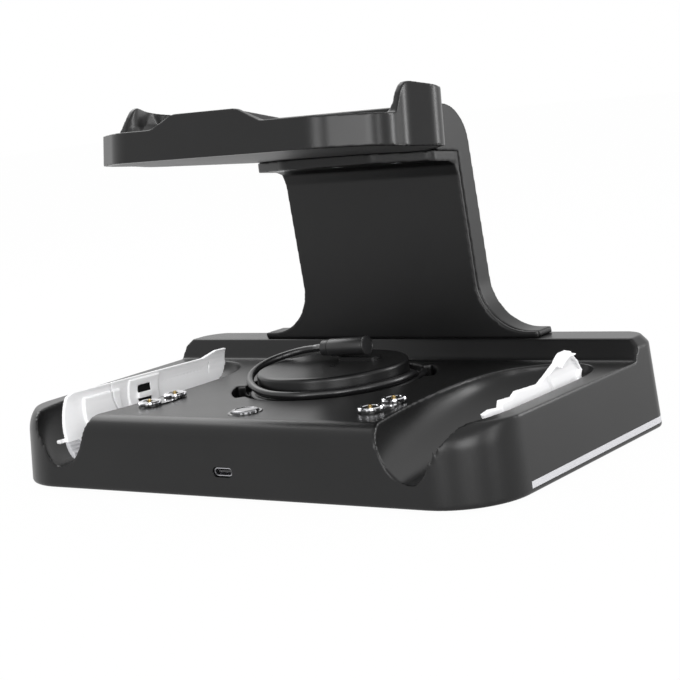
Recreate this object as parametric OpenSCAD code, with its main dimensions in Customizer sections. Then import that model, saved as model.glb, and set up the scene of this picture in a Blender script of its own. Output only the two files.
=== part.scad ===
// Charging station for a virtual reality headset and its two hand controllers.
// Frame: X to the right, Y to the back, Z up; the origin is on the surface it
// stands on, under the middle of its footprint.

/* [Base] */
// Width of the base at its bottom edge
base_w = 244; // [230:1:270]
// Depth of the base at its bottom edge
base_d = 145; // [138:1:160]
// Height of the deck above the bottom edge of the shell
deck_h = 30.4; // [28:0.2:34]
// Height of the rear block above the bottom edge of the shell
block_h = 39; // [37:0.2:44]
// How far each upright wall leans in over the height of the block
draft_in = 2; // [1:0.1:3]
// Wall thickness of the base shell
wall = 2.4; // [2:0.1:3]
// Plan radius of the front corners
front_r = 28; // [20:1:34]
// Plan radius of the rear corners
rear_r = 11; // [6:1:16]
// Radius of the soft shoulder along the front of the deck
shoulder_r = 8.5; // [5:0.5:9.5]
// Depth of the rear block at its foot
block_d = 23.6; // [20:0.2:26]
// How far the sloped face of the rear block leans back
block_lean = 5; // [2:0.2:7]
// Size of the bevel at each end of the rear block
block_bevel = 3.2; // [1:0.2:5]
// Thickness of the bottom cover
bottom_t = 2.4; // [2:0.1:3]
// Height of the rubber feet below the shell
foot_h = 1.5; // [1:0.1:2.5]
// Diameter of each rubber foot
foot_dia = 14; // [10:1:18]

/* [Cradles] */
// Width of the wall that is left outside each cradle
side_band = 8.6; // [7:0.2:11]
// Distance from the middle to the narrowest inner edge of a cradle
cradle_in = 63.6; // [62:0.2:68]
// Distance from the middle to the bottom of the front notch
notch_x = 88.9; // [85:0.2:92]
// Height of the bottom of the front notch above the bottom edge
notch_z = 9.2; // [8:0.2:12]
// Length of a cradle from the front of the base
cradle_len = 117.5; // [112:0.5:119]

/* [Cable winder] */
// Radius of the winder disc
hub_r = 32.2; // [30:0.2:34]
// Height of the winder disc above the deck
hub_rise = 7; // [6.6:0.2:9]
// Distance from the middle of the disc to the front of the base
hub_y = 79.75; // [76:0.25:82]
// Width of the ring shaped trough round the disc
trough_w = 7.4; // [6.8:0.2:9]
// Depth of the trough below the deck
trough_depth = 4; // [3.6:0.1:5]
// Diameter of the charging cable
cable_dia = 3.2; // [2.8:0.1:3.4]

/* [Contacts] */
// Outer diameter of a magnetic contact ring
ring_dia = 9.8; // [9:0.1:11]
// Height of a ring top above the deck
ring_rise = 2.1; // [1.8:0.1:3]
// Distance between the two rings of a pair
ring_pitch = 16.2; // [15:0.1:18]
// Distance from the middle of the base to each pair
contact_x = 56.3; // [52:0.1:57]
// Distance from the front of the base to the front ring
contact_y = 25.6; // [25:0.1:28]
// Diameter of a sprung pin
pin_dia = 2; // [1.6:0.1:2.4]
// Travel of a sprung pin
pin_travel = 1; // [0.6:0.1:1.2]
// Radial running clearance of pins and button
run_gap = 0.06; // [0.04:0.01:0.1]

/* [Button and socket] */
// Diameter of the power button
button_dia = 11; // [9:0.5:13]
// Distance from the front of the base to the button
button_y = 19; // [18:0.5:21]
// Travel of the power button
button_travel = 0.5; // [0.3:0.1:0.8]
// Height of the power socket's centre above the bottom edge
socket_z = 10.5; // [10:0.1:12]
// Width of the power socket's shell
socket_w = 8.94; // [8.6:0.02:9.2]
// Height of the power socket's shell
socket_h = 3.26; // [3:0.02:3.4]

/* [Arm] */
// Half width of the arm
arm_half = 45.7; // [42:0.1:50]
// Half width of the arm's foot
arm_foot_half = 72.3; // [68:0.1:76]
// Radius of the flares from the arm into its foot
flare_r = 22; // [16:0.5:24]
// Thickness of the arm's foot
arm_foot_t = 2.8; // [2.4:0.1:4]
// Height of the arm's top above the bottom edge of the base
arm_top = 140.8; // [134:0.2:150]
// How far the arm's front stands behind the top edge of the rear block's slope
arm_set = 1.2; // [0.6:0.1:2]
// Depth of the arm at its foot
arm_depth = 13.4; // [12:0.1:14]
// How far the arm leans forward for each mm of height
arm_lean = 0.088; // [0.05:0.001:0.1]
// Radius of the bend at the top of the arm
bend_r = 20; // [14:0.5:22]
// Thickness of the arm's panels
panel_t = 2.2; // [1.8:0.1:2.6]

/* [Headset tray] */
// Half width of the tray at its widest, beside the horns
tray_half = 77.3; // [75:0.1:82]
// Half width of the straight part of the tray's front
tray_front_half = 50.3; // [46:0.1:54]
// Depth of the tray
tray_d = 88.9; // [87:0.1:90]
// How far the tray reaches out in front of the arm's foot
tray_reach = 110.2; // [109:0.1:112]
// Height of the low part of the rim above the tray's underside
rim_low = 12.4; // [11:0.1:14]
// Height of the front hump of the rim
rim_hump = 17.8; // [15:0.1:20]
// Height of the horns at the sides
rim_horn = 24.4; // [20:0.1:28]
// Tilt of the tray, front up, in degrees
tray_tilt = 6.6; // [4.6:0.1:8]
// Thickness of the tray's floor above its underside
tray_floor = 5; // [4:0.5:7]
// Thickness of the tray's rim
rim_t = 2.4; // [2:0.1:3]

/* [Battery covers] */
// Length of a battery cover
cover_len = 94; // [88:0.5:98]
// Width of a battery cover
cover_w = 24; // [20:0.5:26]
// Wall thickness of a battery cover
cover_t = 1.6; // [1.4:0.1:2]

/* [Hidden] */

$fn = 48;
eps = 0.02;
free_gap = 0.15;
arc_steps = 8;

arm_y = base_d - block_d + block_lean + arm_set;
tray_y = arm_y - tray_reach;
hub_top = deck_h + hub_rise;
trough_r = hub_r + trough_w;
trough_z = deck_h - trough_depth;
ceiling_z = deck_h - wall;

satin_black = "#1d1d1e";
gloss_black = "#101011";

// Points and lofts

function unit(v) = v / norm(v);

// Arc that rounds corner b between its neighbours a and c
function corner_arc(a, b, c, r, n = arc_steps) =
    let (
        u = unit(a - b),
        w = unit(c - b),
        half = acos(u * w) / 2,
        centre = b + unit(u + w) * r / sin(half),
        from = b + u * r / tan(half) - centre,
        to = b + w * r / tan(half) - centre,
        start = atan2(from.y, from.x),
        sweep = (atan2(to.y, to.x) - start + 540) % 360 - 180
    )
    [for (i = [0:n]) centre + r * [cos(start + sweep * i / n), sin(start + sweep * i / n)]];

// Polygon with each corner rounded by its own radius
function rounded(p, radii, n = arc_steps) =
    let (count = len(p))
    [for (i = [0:count - 1])
        each (radii[i] > 0
            ? corner_arc(p[(i + count - 1) % count], p[i], p[(i + 1) % count], radii[i], n)
            : [p[i]])];

function lifted(outline, z) = [for (p = outline) [p.x, p.y, z]];

// Closed solid through rings that all hold as many points, each counter-clockwise as
// seen from the last ring
module loft(rings) {
    n = len(rings[0]);
    last = len(rings) - 1;
    sides = [
        for (k = [0:last - 1], i = [0:n - 1])
            let (a = k * n + i, b = k * n + (i + 1) % n)
            each [[a, a + n, b], [b, a + n, b + n]]
    ];
    caps = [[for (i = [0:n - 1]) i], [for (i = [n - 1:-1:0]) last * n + i]];
    polyhedron(points = [for (ring = rings) each ring], faces = concat(sides, caps));
}

// Places a piece of the base frame in the part's own frame
module placed() {
    translate([0, -base_d / 2, foot_h]) children();
}

module both_sides() {
    children();
    mirror([1, 0, 0]) children();
}

// Base shell

// Plan outline of the base at a height, set in by a wall and by the shoulder
function base_outline(z, inset = 0, shoulder = 0) =
    let (
        lean = draft_in * z / block_h + inset,
        half = base_w / 2 - lean,
        y0 = lean + shoulder,
        y1 = base_d - lean,
        rf = front_r - inset,
        rfy = rf - shoulder,
        rr = rear_r - inset,
        step = 90 / arc_steps
    )
    concat(
        [for (i = [0:arc_steps])
            [half - rf + rf * sin(i * step), y0 + rfy - rfy * cos(i * step)]],
        [for (i = [0:arc_steps])
            [half - rr + rr * cos(i * step), y1 - rr + rr * sin(i * step)]],
        [for (i = [0:arc_steps])
            [-half + rr - rr * sin(i * step), y1 - rr + rr * cos(i * step)]],
        [for (i = [0:arc_steps])
            [-half + rf - rf * cos(i * step), y0 + rfy - rfy * sin(i * step)]]
    );

shoulder_steps = 6;
edge_r = 0.8;

// Body below the deck, with its rounded bottom edge and soft front shoulder
module body_solid(inset = 0) {
    top = deck_h - inset;
    r = shoulder_r - inset;
    loft(concat(
        [lifted(base_outline(0, inset + (inset > 0 ? 0 : edge_r)), inset > 0 ? -eps : 0)],
        [lifted(base_outline(edge_r, inset), edge_r)],
        [for (i = [0:shoulder_steps])
            let (
                a = 90 * i / shoulder_steps,
                z = top - r + r * sin(a)
            )
            lifted(base_outline(z, inset, r * (1 - cos(a))), z)]
    ));
}

// Plan outline of the rear block at a height
function block_outline(z, inset = 0, bevel = 0) =
    let (
        lean = draft_in * z / block_h + inset + eps,
        half = base_w / 2 - lean - bevel,
        slope = block_lean / (block_h - deck_h),
        y0 = base_d - block_d + (z - deck_h) * slope + inset,
        y1 = base_d - lean,
        rr = rear_r - inset,
        step = 90 / arc_steps
    )
    concat(
        [[-half, y0], [half, y0]],
        [for (i = [0:arc_steps])
            [half - rr + rr * cos(i * step), y1 - rr + rr * sin(i * step)]],
        [for (i = [0:arc_steps])
            [-half + rr - rr * sin(i * step), y1 - rr + rr * cos(i * step)]]
    );

module block_solid(inset = 0) {
    top = block_h - inset;
    loft([
        lifted(block_outline(deck_h - 6, inset), deck_h - 6),
        lifted(block_outline(top - block_bevel, inset), top - block_bevel),
        lifted(block_outline(top, inset, block_bevel), top)
    ]);
}

// Cradle bowl: half elliptical sections from the front notch to the rear end

cradle_out = base_w / 2 - draft_in * deck_h / block_h - side_band;
notch_in = 15.3;
notch_out = 9;
corner_run = 22;
cradle_mid = cradle_len * 0.6;
cradle_end_set = 16.8;
cradle_end_x = cradle_out - cradle_end_set;
bowl_steps = 16;
bowl_sides = 14;

function eased(t) = sqrt(max(0, 1 - pow(max(0, 1 - t), 2)));

// Inner edge, outer edge, bottom line and floor of the bowl at a distance from the front
function cradle_inner(y) =
    y < cradle_mid
        ? cradle_in + (notch_x - notch_in - cradle_in) * pow(1 - max(0, y) / cradle_mid, 1.8)
        : cradle_end_x - (cradle_end_x - cradle_in)
            * sqrt(max(0, 1 - pow((y - cradle_mid) / (cradle_len - cradle_mid), 2.6)));
function cradle_outer(y) =
    y < cradle_mid
        ? notch_x + notch_out + (cradle_out - notch_x - notch_out) * eased(max(0, y) / corner_run)
        : cradle_end_x + (cradle_out - cradle_end_x)
            * sqrt(max(0, 1 - pow((y - cradle_mid) / (cradle_len - cradle_mid), 4)));
function cradle_bottom(y) = notch_x + (cradle_end_x - notch_x) * pow(max(0, y) / cradle_len, 3);
function cradle_floor(y) =
    deck_h - (deck_h - notch_z) * sqrt(max(0, 1 - pow(max(0, y) / cradle_len, 2.2)));

function bowl_ring(y, grow, top) =
    let (
        xi = cradle_inner(y) - grow,
        xo = cradle_outer(y) + grow,
        xb = cradle_bottom(y),
        zb = cradle_floor(y) - grow,
        depth = deck_h - zb
    )
    concat(
        [[xi, y, top], [xo, y, top]],
        [for (i = [bowl_sides:-1:0])
            let (a = 180 * i / bowl_sides, c = cos(a))
            [xb - c * (c > 0 ? xb - xi : xo - xb), y, deck_h - depth * sin(a)]]
    );

// The bowl that is cut from the shell, grown by a wall for its own skin
module cradle_bowl(grow = 0) {
    top = deck_h + 6;
    end = cradle_len - 0.3;
    loft([
        bowl_ring(-front_r / 2, grow, top),
        for (i = [0:bowl_steps])
            let (t = i / bowl_steps)
            bowl_ring(end * (1 - pow(1 - t, 1.5)) + (t == 1 ? grow : 0), grow, top)
    ]);
}

// Ring shaped trough round the winder disc and the two finger scoops beside it

scoop_out = 4;
scoop_depth = 8;
left_scoop = [-160, 36];
right_scoop = [16, 36];

module at_hub() {
    translate([0, hub_y, 0]) children();
}

module trough(grow = 0) {
    at_hub() translate([0, 0, trough_z - grow])
        cylinder(r = trough_r + grow, h = trough_depth + 1 + grow, $fn = 96);
}

// Finger scoop that spans an arc from a start angle
module scoop(arc, grow = 0) {
    r0 = hub_r + 1.2 - grow;
    r1 = trough_r + scoop_out + grow;
    z = deck_h - scoop_depth - grow;
    at_hub() rotate([0, 0, arc[0] - grow])
        rotate_extrude(angle = arc[1] + 2 * grow, $fn = 96)
            translate([r0, z]) square([r1 - r0, scoop_depth + 1 + grow]);
}

// Light strip round the sides and the back, low on the wall

strip_z = 2.1;
strip_h = 2.6;
strip_y = 29.8;
strip_t = 1.3;

module wall_band(outer, inner, z, h, y) {
    difference() {
        loft([lifted(base_outline(z, outer), z), lifted(base_outline(z + h, outer), z + h)]);
        loft([
            lifted(base_outline(z - 1, inner), z - 1),
            lifted(base_outline(z + h + 1, inner), z + h + 1)
        ]);
        translate([-base_w, -base_d, -1]) cube([2 * base_w, base_d + y, block_h]);
    }
}

module light_strip() {
    color("#c9cacc") placed() wall_band(0, strip_t, strip_z, strip_h, strip_y);
}

// LED boards stand behind windows in the side walls

led_count = 5;
led_pitch = 18;
led_y = strip_y + 14;
led_board_t = 1.2;
led_board_h = 8;
led_chip = [1, 3, 1.6];
led_wall_x = base_w / 2 - draft_in * (strip_z + strip_h) / block_h - wall;

module led_spots(size, x) {
    for (i = [0:led_count - 1])
        translate([x, led_y + i * led_pitch - size.y / 2, strip_z + (strip_h - size.z) / 2])
            cube(size);
}

module led_windows() {
    led_spots([wall, led_chip.y + 0.4, led_chip.z + 0.4], led_wall_x - 0.6);
}

module led_board() {
    board_x = led_wall_x - led_board_t - 0.6;
    translate([board_x, led_y - 6, bottom_t])
        cube([led_board_t, (led_count - 1) * led_pitch + 12, led_board_h]);
    led_spots([led_chip.x + 0.6, led_chip.y, led_chip.z], board_x + led_board_t - eps);
}

module led_board_right() {
    color("#1f6b45") placed() led_board();
}

module led_board_left() {
    color("#1f6b45") placed() mirror([1, 0, 0]) led_board();
}

// Screw posts and what they hold

post_r = 3.4;
screw_r = 1.25;
screw_head_r = 2.4;
screw_head_h = 1.6;
screw_len = 10;
front_post = [48, 13];
middle_post = [57, 60];
rear_post = [base_w / 2 - 18, base_d - 12];
post_spots = [for (side = [-1, 1], p = [front_post, middle_post, rear_post]) [side * p.x, p.y]];
arm_screw_x = [22, 56];
arm_screw_grip = 2;
arm_screw_y = (arm_y + base_d - draft_in) / 2 - 1.4;

module posts() {
    for (p = post_spots)
        translate([p.x, p.y, bottom_t])
            cylinder(r = post_r, h = block_h - wall / 2 - bottom_t);
}

module post_bores() {
    for (p = post_spots)
        translate([p.x, p.y, bottom_t - 1]) cylinder(r = screw_r, h = screw_len + 3);
}

button_post_x = 10.5;
button_board_t = 1.6;
switch_h = 3.4;
button_stem = 4.6;
button_rise = 1.4;
button_flange = 1;
button_flange_t = 0.8;
bezel_gap = 0.3;
bezel_w = 1.2;
bezel_t = 0.4;
button_hole_r = button_dia / 2 + run_gap;
switch_top = deck_h - button_stem - button_travel;
button_board_z = switch_top - switch_h - button_board_t;

module button_posts() {
    for (x = [-button_post_x, button_post_x])
        translate([x, button_y, button_board_z + button_board_t])
            cylinder(r = 2, h = deck_h - button_board_z - button_board_t - wall / 2);
}

contact_board_t = 1.6;
stem_r = 3;
stem_len = 7;
base_plate_t = 0.6;
ring_h = 0.9;
contact_board_z = deck_h - stem_len - contact_board_t;

function ring_y(row) = contact_y + row * ring_pitch;

module at_contact(side, row) {
    translate([side * contact_x, ring_y(row), deck_h]) children();
}

module contact_holes() {
    for (side = [-1, 1], row = [0, 1])
        at_contact(side, row) translate([0, 0, -wall - 2])
            cylinder(r = stem_r + free_gap, h = wall + 4);
}

// Rounded slot that the power socket looks out of
module socket_outline(grow) {
    r = socket_h / 2 + grow;
    for (side = [-1, 1])
        translate([side * (socket_w / 2 + grow - r), 0]) circle(r = r);
    square([socket_w + 2 * grow - 2 * r, 2 * r], center = true);
}

module socket_prism(grow, y0, y1) {
    translate([0, y1, socket_z]) rotate([90, 0, 0])
        linear_extrude(y1 - y0) socket_outline(grow);
}

module base_shell() {
    color(satin_black) placed() difference() {
        union() {
            body_solid();
            block_solid();
        }
        difference() {
            union() {
                body_solid(wall);
                block_solid(wall);
            }
            both_sides() cradle_bowl(wall);
            trough(wall);
            scoop(left_scoop, wall);
            scoop(right_scoop, wall);
            posts();
            button_posts();
        }
        both_sides() cradle_bowl();
        trough();
        scoop(left_scoop);
        scoop(right_scoop);
        wall_band(-1, strip_t, strip_z, strip_h, strip_y);
        both_sides() led_windows();
        post_bores();
        contact_holes();
        socket_prism(0.45, -1, wall + 3);
        translate([0, button_y, deck_h - wall - 1])
            cylinder(r = button_hole_r, h = wall + 2);
        at_hub() translate([0, 0, trough_z - wall - 1]) cylinder(r = 1.6, h = wall + 2);
        for (side = [-1, 1], x = arm_screw_x)
            translate([side * x, arm_screw_y, block_h - wall - 1])
                cylinder(r = screw_r + free_gap, h = wall + 2);
    }
}

// Bottom cover, its screws and the rubber feet

cover_gap = 0.2;
foot_set = [24, 24];
foot_spots = [for (side = [-1, 1], y = [foot_set.y, base_d - foot_set.y + 1])
    [side * (base_w / 2 - foot_set.x), y]];

module bottom_cover() {
    inset = wall + cover_gap;
    color("#202021") placed() difference() {
        loft([lifted(base_outline(0, inset), 0), lifted(base_outline(bottom_t, inset), bottom_t)]);
        for (p = post_spots) translate([p.x, p.y, -1]) {
            cylinder(r = screw_r + free_gap, h = bottom_t + 2);
            cylinder(r = screw_head_r + free_gap, h = 1 + screw_head_h);
        }
        translate([0, hub_y, -1]) cylinder(r = 3, h = bottom_t + 2);
    }
}

module screw(length) {
    cylinder(r = screw_head_r, h = screw_head_h);
    translate([0, 0, screw_head_h - eps]) cylinder(r = screw_r, h = length);
}

module bottom_screws() {
    color("#8d9093") placed()
        for (p = post_spots) translate([p.x, p.y, 0]) screw(screw_len);
}

module rubber_feet() {
    color("#2b2b2b") placed()
        for (p = foot_spots) translate([p.x, p.y, -foot_h]) cylinder(d = foot_dia, h = foot_h);
}

// Boards in the base

main_board_t = 1.6;
main_board_size = [56, 34];
main_board_y = 4.2;
socket_len = 7.4;
socket_y = 1.4;
socket_skin = 0.35;

module main_board() {
    top = socket_z - socket_h / 2;
    color("#1f6b45") placed() {
        translate([-main_board_size.x / 2, main_board_y, top - main_board_t])
            cube([main_board_size.x, main_board_size.y, main_board_t]);
        for (x = [-1, 1], y = [4, main_board_size.y - 4])
            translate([x * (main_board_size.x / 2 - 4), main_board_y + y, bottom_t])
                cylinder(r = 2.2, h = top - main_board_t - bottom_t + eps);
        translate([-18, main_board_y + 12, top - eps]) cube([8, 8, 1.2]);
        translate([6, main_board_y + 14, top - eps]) cube([12, 12, 4]);
    }
}

module usb_socket_shell() {
    color("#b9bcc0") placed() difference() {
        socket_prism(0, socket_y, socket_y + socket_len);
        socket_prism(-socket_skin, socket_y - 1, socket_y + socket_len - 1);
    }
}

module usb_socket_tongue() {
    tongue = [6.2, 5.2, 0.7];
    color("#3a3a3c") placed()
        translate([-tongue.x / 2, socket_y + socket_len - 1 - tongue.y, socket_z - tongue.z / 2])
            cube(tongue);
}

// Power button, its bezel and the switch beneath it

button_edge = 0.4;

module power_button() {
    color("#c8cacd") placed() translate([0, button_y, deck_h]) {
        translate([0, 0, -wall]) cylinder(d = button_dia, h = wall + button_rise - button_edge);
        translate([0, 0, button_rise - button_edge])
            cylinder(r1 = button_dia / 2, r2 = button_dia / 2 - button_edge, h = button_edge);
        translate([0, 0, -wall - button_flange_t])
            cylinder(r = button_dia / 2 + button_flange, h = button_flange_t);
        translate([0, 0, -button_stem]) cylinder(r = 1.6, h = button_stem - wall);
    }
}

module button_bezel() {
    inner = button_hole_r + bezel_gap;
    color(gloss_black) placed() translate([0, button_y, deck_h]) difference() {
        cylinder(r = inner + bezel_w, h = bezel_t);
        translate([0, 0, -1]) cylinder(r = inner, h = bezel_t + 2);
    }
}

module button_switch() {
    side = 6;
    color("#2d2d30") placed() translate([0, button_y, switch_top]) {
        translate([-side / 2, -side / 2, -switch_h]) cube([side, side, switch_h]);
    }
}

button_board_over = 2.5;
button_board_d = 12;

module button_board() {
    size = [2 * (button_post_x + button_board_over), button_board_d];
    color("#1f6b45") placed() translate([-size.x / 2, button_y - size.y / 2, button_board_z])
        cube([size.x, size.y, button_board_t]);
}

// Magnetic contacts: a base on the deck, a ring and a sprung pin at each spot

barrel_r = pin_dia / 2 + 0.45;
barrel_len = 5.4;
pin_rise = 0.7;
plate_point = 6;
plate_half_w = ring_dia / 2 + 0.6;

// Lens shaped plate that both rings of a pair stand on
module contact_plate() {
    half_len = ring_pitch / 2 + plate_point;
    r = (pow(half_len, 2) + pow(plate_half_w, 2)) / (2 * plate_half_w);
    linear_extrude(base_plate_t) intersection() {
        translate([r - plate_half_w, 0]) circle(r = r, $fn = 128);
        translate([plate_half_w - r, 0]) circle(r = r, $fn = 128);
    }
}

module contact_base(side) {
    difference() {
        union() {
            translate([side * contact_x, ring_y(0.5), deck_h]) contact_plate();
            for (row = [0, 1]) at_contact(side, row) {
                translate([0, 0, base_plate_t - eps])
                    cylinder(d = ring_dia, h = ring_rise - ring_h - base_plate_t + eps);
                translate([0, 0, -stem_len]) cylinder(r = stem_r, h = stem_len + eps);
                cylinder(r = ring_dia / 2 - 2, h = ring_rise - 0.2);
            }
        }
        for (row = [0, 1]) at_contact(side, row)
            translate([0, 0, -stem_len - 1]) cylinder(r = barrel_r, h = stem_len + ring_rise + 2);
    }
}

module contact_base_left() {
    color(gloss_black) placed() contact_base(-1);
}

module contact_base_right() {
    color(gloss_black) placed() contact_base(1);
}

module contact_ring(side, row) {
    color("#d9dbde") placed() at_contact(side, row) translate([0, 0, ring_rise - ring_h])
        rotate_extrude() translate([ring_dia / 2 - 2, 0]) {
            square([2, ring_h - 0.3]);
            translate([0.3, 0]) square([1.4, ring_h]);
        }
}

module contact_ring_left_front() { contact_ring(-1, 0); }
module contact_ring_left_rear() { contact_ring(-1, 1); }
module contact_ring_right_front() { contact_ring(1, 0); }
module contact_ring_right_rear() { contact_ring(1, 1); }

module pin_barrels() {
    color("#c9a24a") placed()
        for (side = [-1, 1], row = [0, 1]) at_contact(side, row)
            translate([0, 0, ring_rise - 0.6 - barrel_len]) difference() {
                cylinder(r = barrel_r, h = barrel_len);
                translate([0, 0, pin_travel]) cylinder(r = pin_dia / 2 + run_gap, h = barrel_len);
            }
}

// Sprung pin at rest, pushed up by the spring in its barrel
module contact_pin(side, row) {
    color("#d8b04c") placed() at_contact(side, row) {
        bottom = ring_rise - 0.6 - barrel_len + 2 * pin_travel + 0.1;
        top = ring_rise + pin_rise;
        translate([0, 0, bottom]) cylinder(d = pin_dia, h = top - 0.4 - bottom);
        translate([0, 0, top - 0.4 - eps]) cylinder(r = pin_dia / 2 - 0.35, h = 0.4 + eps);
    }
}

module contact_pin_left_front() { contact_pin(-1, 0); }
module contact_pin_left_rear() { contact_pin(-1, 1); }
module contact_pin_right_front() { contact_pin(1, 0); }
module contact_pin_right_rear() { contact_pin(1, 1); }

contact_board_w = 9;

module contact_board(side) {
    size = [contact_board_w, ring_pitch + contact_board_w, contact_board_t];
    color("#1f6b45") placed()
        translate([side * contact_x - size.x / 2, ring_y(0.5) - size.y / 2, contact_board_z])
            cube(size);
}

module contact_board_left() { contact_board(-1); }
module contact_board_right() { contact_board(1); }

// Cable winder disc with a screw from below

hub_edge = 1;
hub_skin = 2;
hub_boss_r = 4;
plug_pad = [19, 7, 1];
plug_pad_x = -4;

plug_y = hub_y + 12.75;
plug_x = -18;
plug_rise = 3;
plug_r = 3.85;
collar_r = 3.5;
collar_len = 4.6;
plug_len = 22.5;
tip_r = 4.4;
tip_len = 1.6;
plug_z = hub_top + plug_r + 0.15;
pad_under = 0.1;

module cable_hub() {
    height = hub_top - trough_z;
    color(satin_black) placed() {
        at_hub() translate([0, 0, trough_z]) rotate_extrude($fn = 96) polygon(concat(
            [[1.2, height - hub_skin], [1.2, height], [hub_r - hub_edge, height]],
            [for (a = [60:-30:0]) [hub_r - hub_edge + hub_edge * cos(a),
                height - hub_edge + hub_edge * sin(a)]],
            [[hub_r, 0], [hub_r - hub_skin, 0], [hub_r - hub_skin, height - hub_skin]]
        ));
        at_hub() translate([0, 0, trough_z]) difference() {
            cylinder(r = hub_boss_r, h = height);
            translate([0, 0, -1]) cylinder(r = screw_r, h = height - 1);
        }
        translate([plug_pad_x, plug_y - plug_pad.y / 2, hub_top - pad_under])
            cube([plug_pad.x, plug_pad.y, plug_pad.z - run_gap]);
    }
}

module hub_screw() {
    color("#8d9093") placed() at_hub()
        translate([0, 0, trough_z - wall - screw_head_h]) screw(wall + 6);
}

// Charging cable: a winding in the trough, a lead up to the plug, and the plug

winding_gap = 0.3;
winding_w = 3.9;
winding_h = cable_dia;

module cable_winding() {
    color(gloss_black) placed() at_hub() translate([0, 0, trough_z]) rotate_extrude($fn = 96)
        translate([hub_r + winding_gap + winding_w / 2, winding_h / 2])
            intersection() {
                square([winding_w, winding_h], center = true);
                circle(r = winding_h / 2 + 0.55);
            }
}

// Route of the lead from the winding up to the plug: right, back and up from the
// middle of the winder disc's foot
lead_route = [
    [31.2, 15.2, 4.9], [34.4, 5, 4.9], [34.4, -5, 4.9], [30.9, -16, 4.9], [24.4, -24.8, 4.9],
    [17.2, -30.4, 4.9], [8.5, -34, 4.95], [0, -35.1, 5.1], [-8, -34.3, 5.4], [-15.5, -31.6, 6.1],
    [-22.5, -27, 7.0],
    [-28.6, -20.8, 8.0], [-33.2, -13.2, 9.2], [-35.2, -5, 10.5], [-34.4, 2.6, 11.8],
    [-30.8, 8.4, 13.0], [-25.6, 11.6, 14.1], [-21.4, 12.6, 14.7], [-18.15, 12.75, 14.95]
];
lead_sides = 8;

function lead_ring(i) =
    let (
        p = lead_route[i],
        last = len(lead_route) - 1,
        d = unit(lead_route[min(i + 1, last)] - lead_route[max(i - 1, 0)]),
        side = unit(cross(d, [0, 0, 1])),
        up = cross(side, d)
    )
    [for (k = [0:lead_sides - 1])
        let (a = 360 * k / lead_sides)
        p + cable_dia / 2 * (cos(a) * side - sin(a) * up) + [0, hub_y, trough_z]];

module cable_lead() {
    color(gloss_black) placed() loft([for (i = [0:len(lead_route) - 1]) lead_ring(i)]);
}

module at_plug(along) {
    placed() translate([plug_x, plug_y, plug_z]) rotate([0, 90 - plug_rise, 0])
        translate([0, 0, along]) children();
}

module plug_collar() {
    color("#161617") at_plug(0) cylinder(r = collar_r, h = collar_len);
}

module plug_body() {
    color(satin_black) at_plug(collar_len) cylinder(r = plug_r, h = plug_len);
}

module plug_tip() {
    color(gloss_black) at_plug(collar_len + plug_len) {
        cylinder(r = tip_r, h = tip_len);
    }
}

// Arm that carries the tray: a rear shell, a front panel and screws from the base

arm_z = block_h;
arm_back = arm_y + arm_depth;
arm_taper = 0.012;
front_line = function (z) arm_y - arm_lean * (z - arm_z);
back_line = function (z) arm_back - (arm_lean + arm_taper) * (z - arm_z);
tray_z = 132.2;
tray_slope = tan(tray_tilt);
tongue_t = 4.4;
tongue_y = 91;
tongue_end_y = 102.5;
tray_rear_rise = 18.6;
tray_draft = 0.014;
tray_taper = tray_draft * tray_d / 2 / (rim_horn + 1);
tray_rear = tray_y + tray_d * cos(tray_tilt) + tray_rear_rise * (sin(tray_tilt) - tray_taper);

function under_tray(y) = tray_z - (y - tray_y) * tray_slope;

// Front view outline of the arm with flares into its foot, set in by a wall
module arm_front_view(inset = 0) {
    h = arm_half - inset;
    foot = arm_foot_half - inset;
    foot_top = arm_z + arm_foot_t + (inset > 0 ? -1 : 0);
    r = flare_r + inset;
    polygon(rounded(
        [[-foot, arm_z], [foot, arm_z], [foot, foot_top], [h, foot_top], [h, arm_top + 1],
            [-h, arm_top + 1], [-h, foot_top], [-foot, foot_top]],
        [0, 0, 0.6, r, 0, 0, r, 0.6]
    ));
}

// Side view outline behind the front panel, as pairs of Y and Z
module arm_side_view(inset = 0) {
    d = panel_t + inset;
    neck_z = under_tray(front_line(120)) - tongue_t;
    outer = [[back_line(arm_z) - inset, arm_z - (inset > 0 ? 1 : 0)],
        [back_line(arm_top) - inset, arm_top - inset]];
    front = tray_rear + free_gap + inset;
    polygon(rounded(
        [[front_line(arm_z) + d, arm_z - (inset > 0 ? 1 : 0)], outer[0], outer[1],
            [front, arm_top - inset], [front, under_tray(front) + inset],
            [front_line(neck_z) + d, under_tray(front_line(neck_z) + d) + inset]],
        [0, 0, bend_r - inset, 0, 0, 0]
    ));
}

module along_x(half) {
    translate([half, 0, 0]) rotate([90, 0, -90]) mirror([1, 0, 0])
        linear_extrude(2 * half) children();
}

module along_y(y0, y1) {
    translate([0, y1, 0]) rotate([90, 0, 0]) linear_extrude(y1 - y0) children();
}

module arm_bosses() {
    for (side = [-1, 1], x = arm_screw_x)
        translate([side * x, arm_screw_y, arm_z])
            cylinder(r = post_r, h = x < arm_half ? 12 : arm_foot_t);
}

module arm_rear_shell() {
    color(satin_black) placed() difference() {
        union() {
            difference() {
                intersection() {
                    along_y(tray_y, base_d) arm_front_view();
                    along_x(arm_foot_half + 1) arm_side_view();
                }
                intersection() {
                    along_y(tray_y, base_d) arm_front_view(panel_t);
                    along_x(arm_foot_half + 1) arm_side_view(panel_t);
                }
            }
            intersection() {
                arm_bosses();
                along_x(arm_foot_half + 1) arm_side_view();
            }
        }
        for (side = [-1, 1], x = arm_screw_x)
            translate([side * x, arm_screw_y, arm_z - 1])
                cylinder(r = screw_r, h = 1 + arm_screw_grip + 0.6);
    }
}

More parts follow.
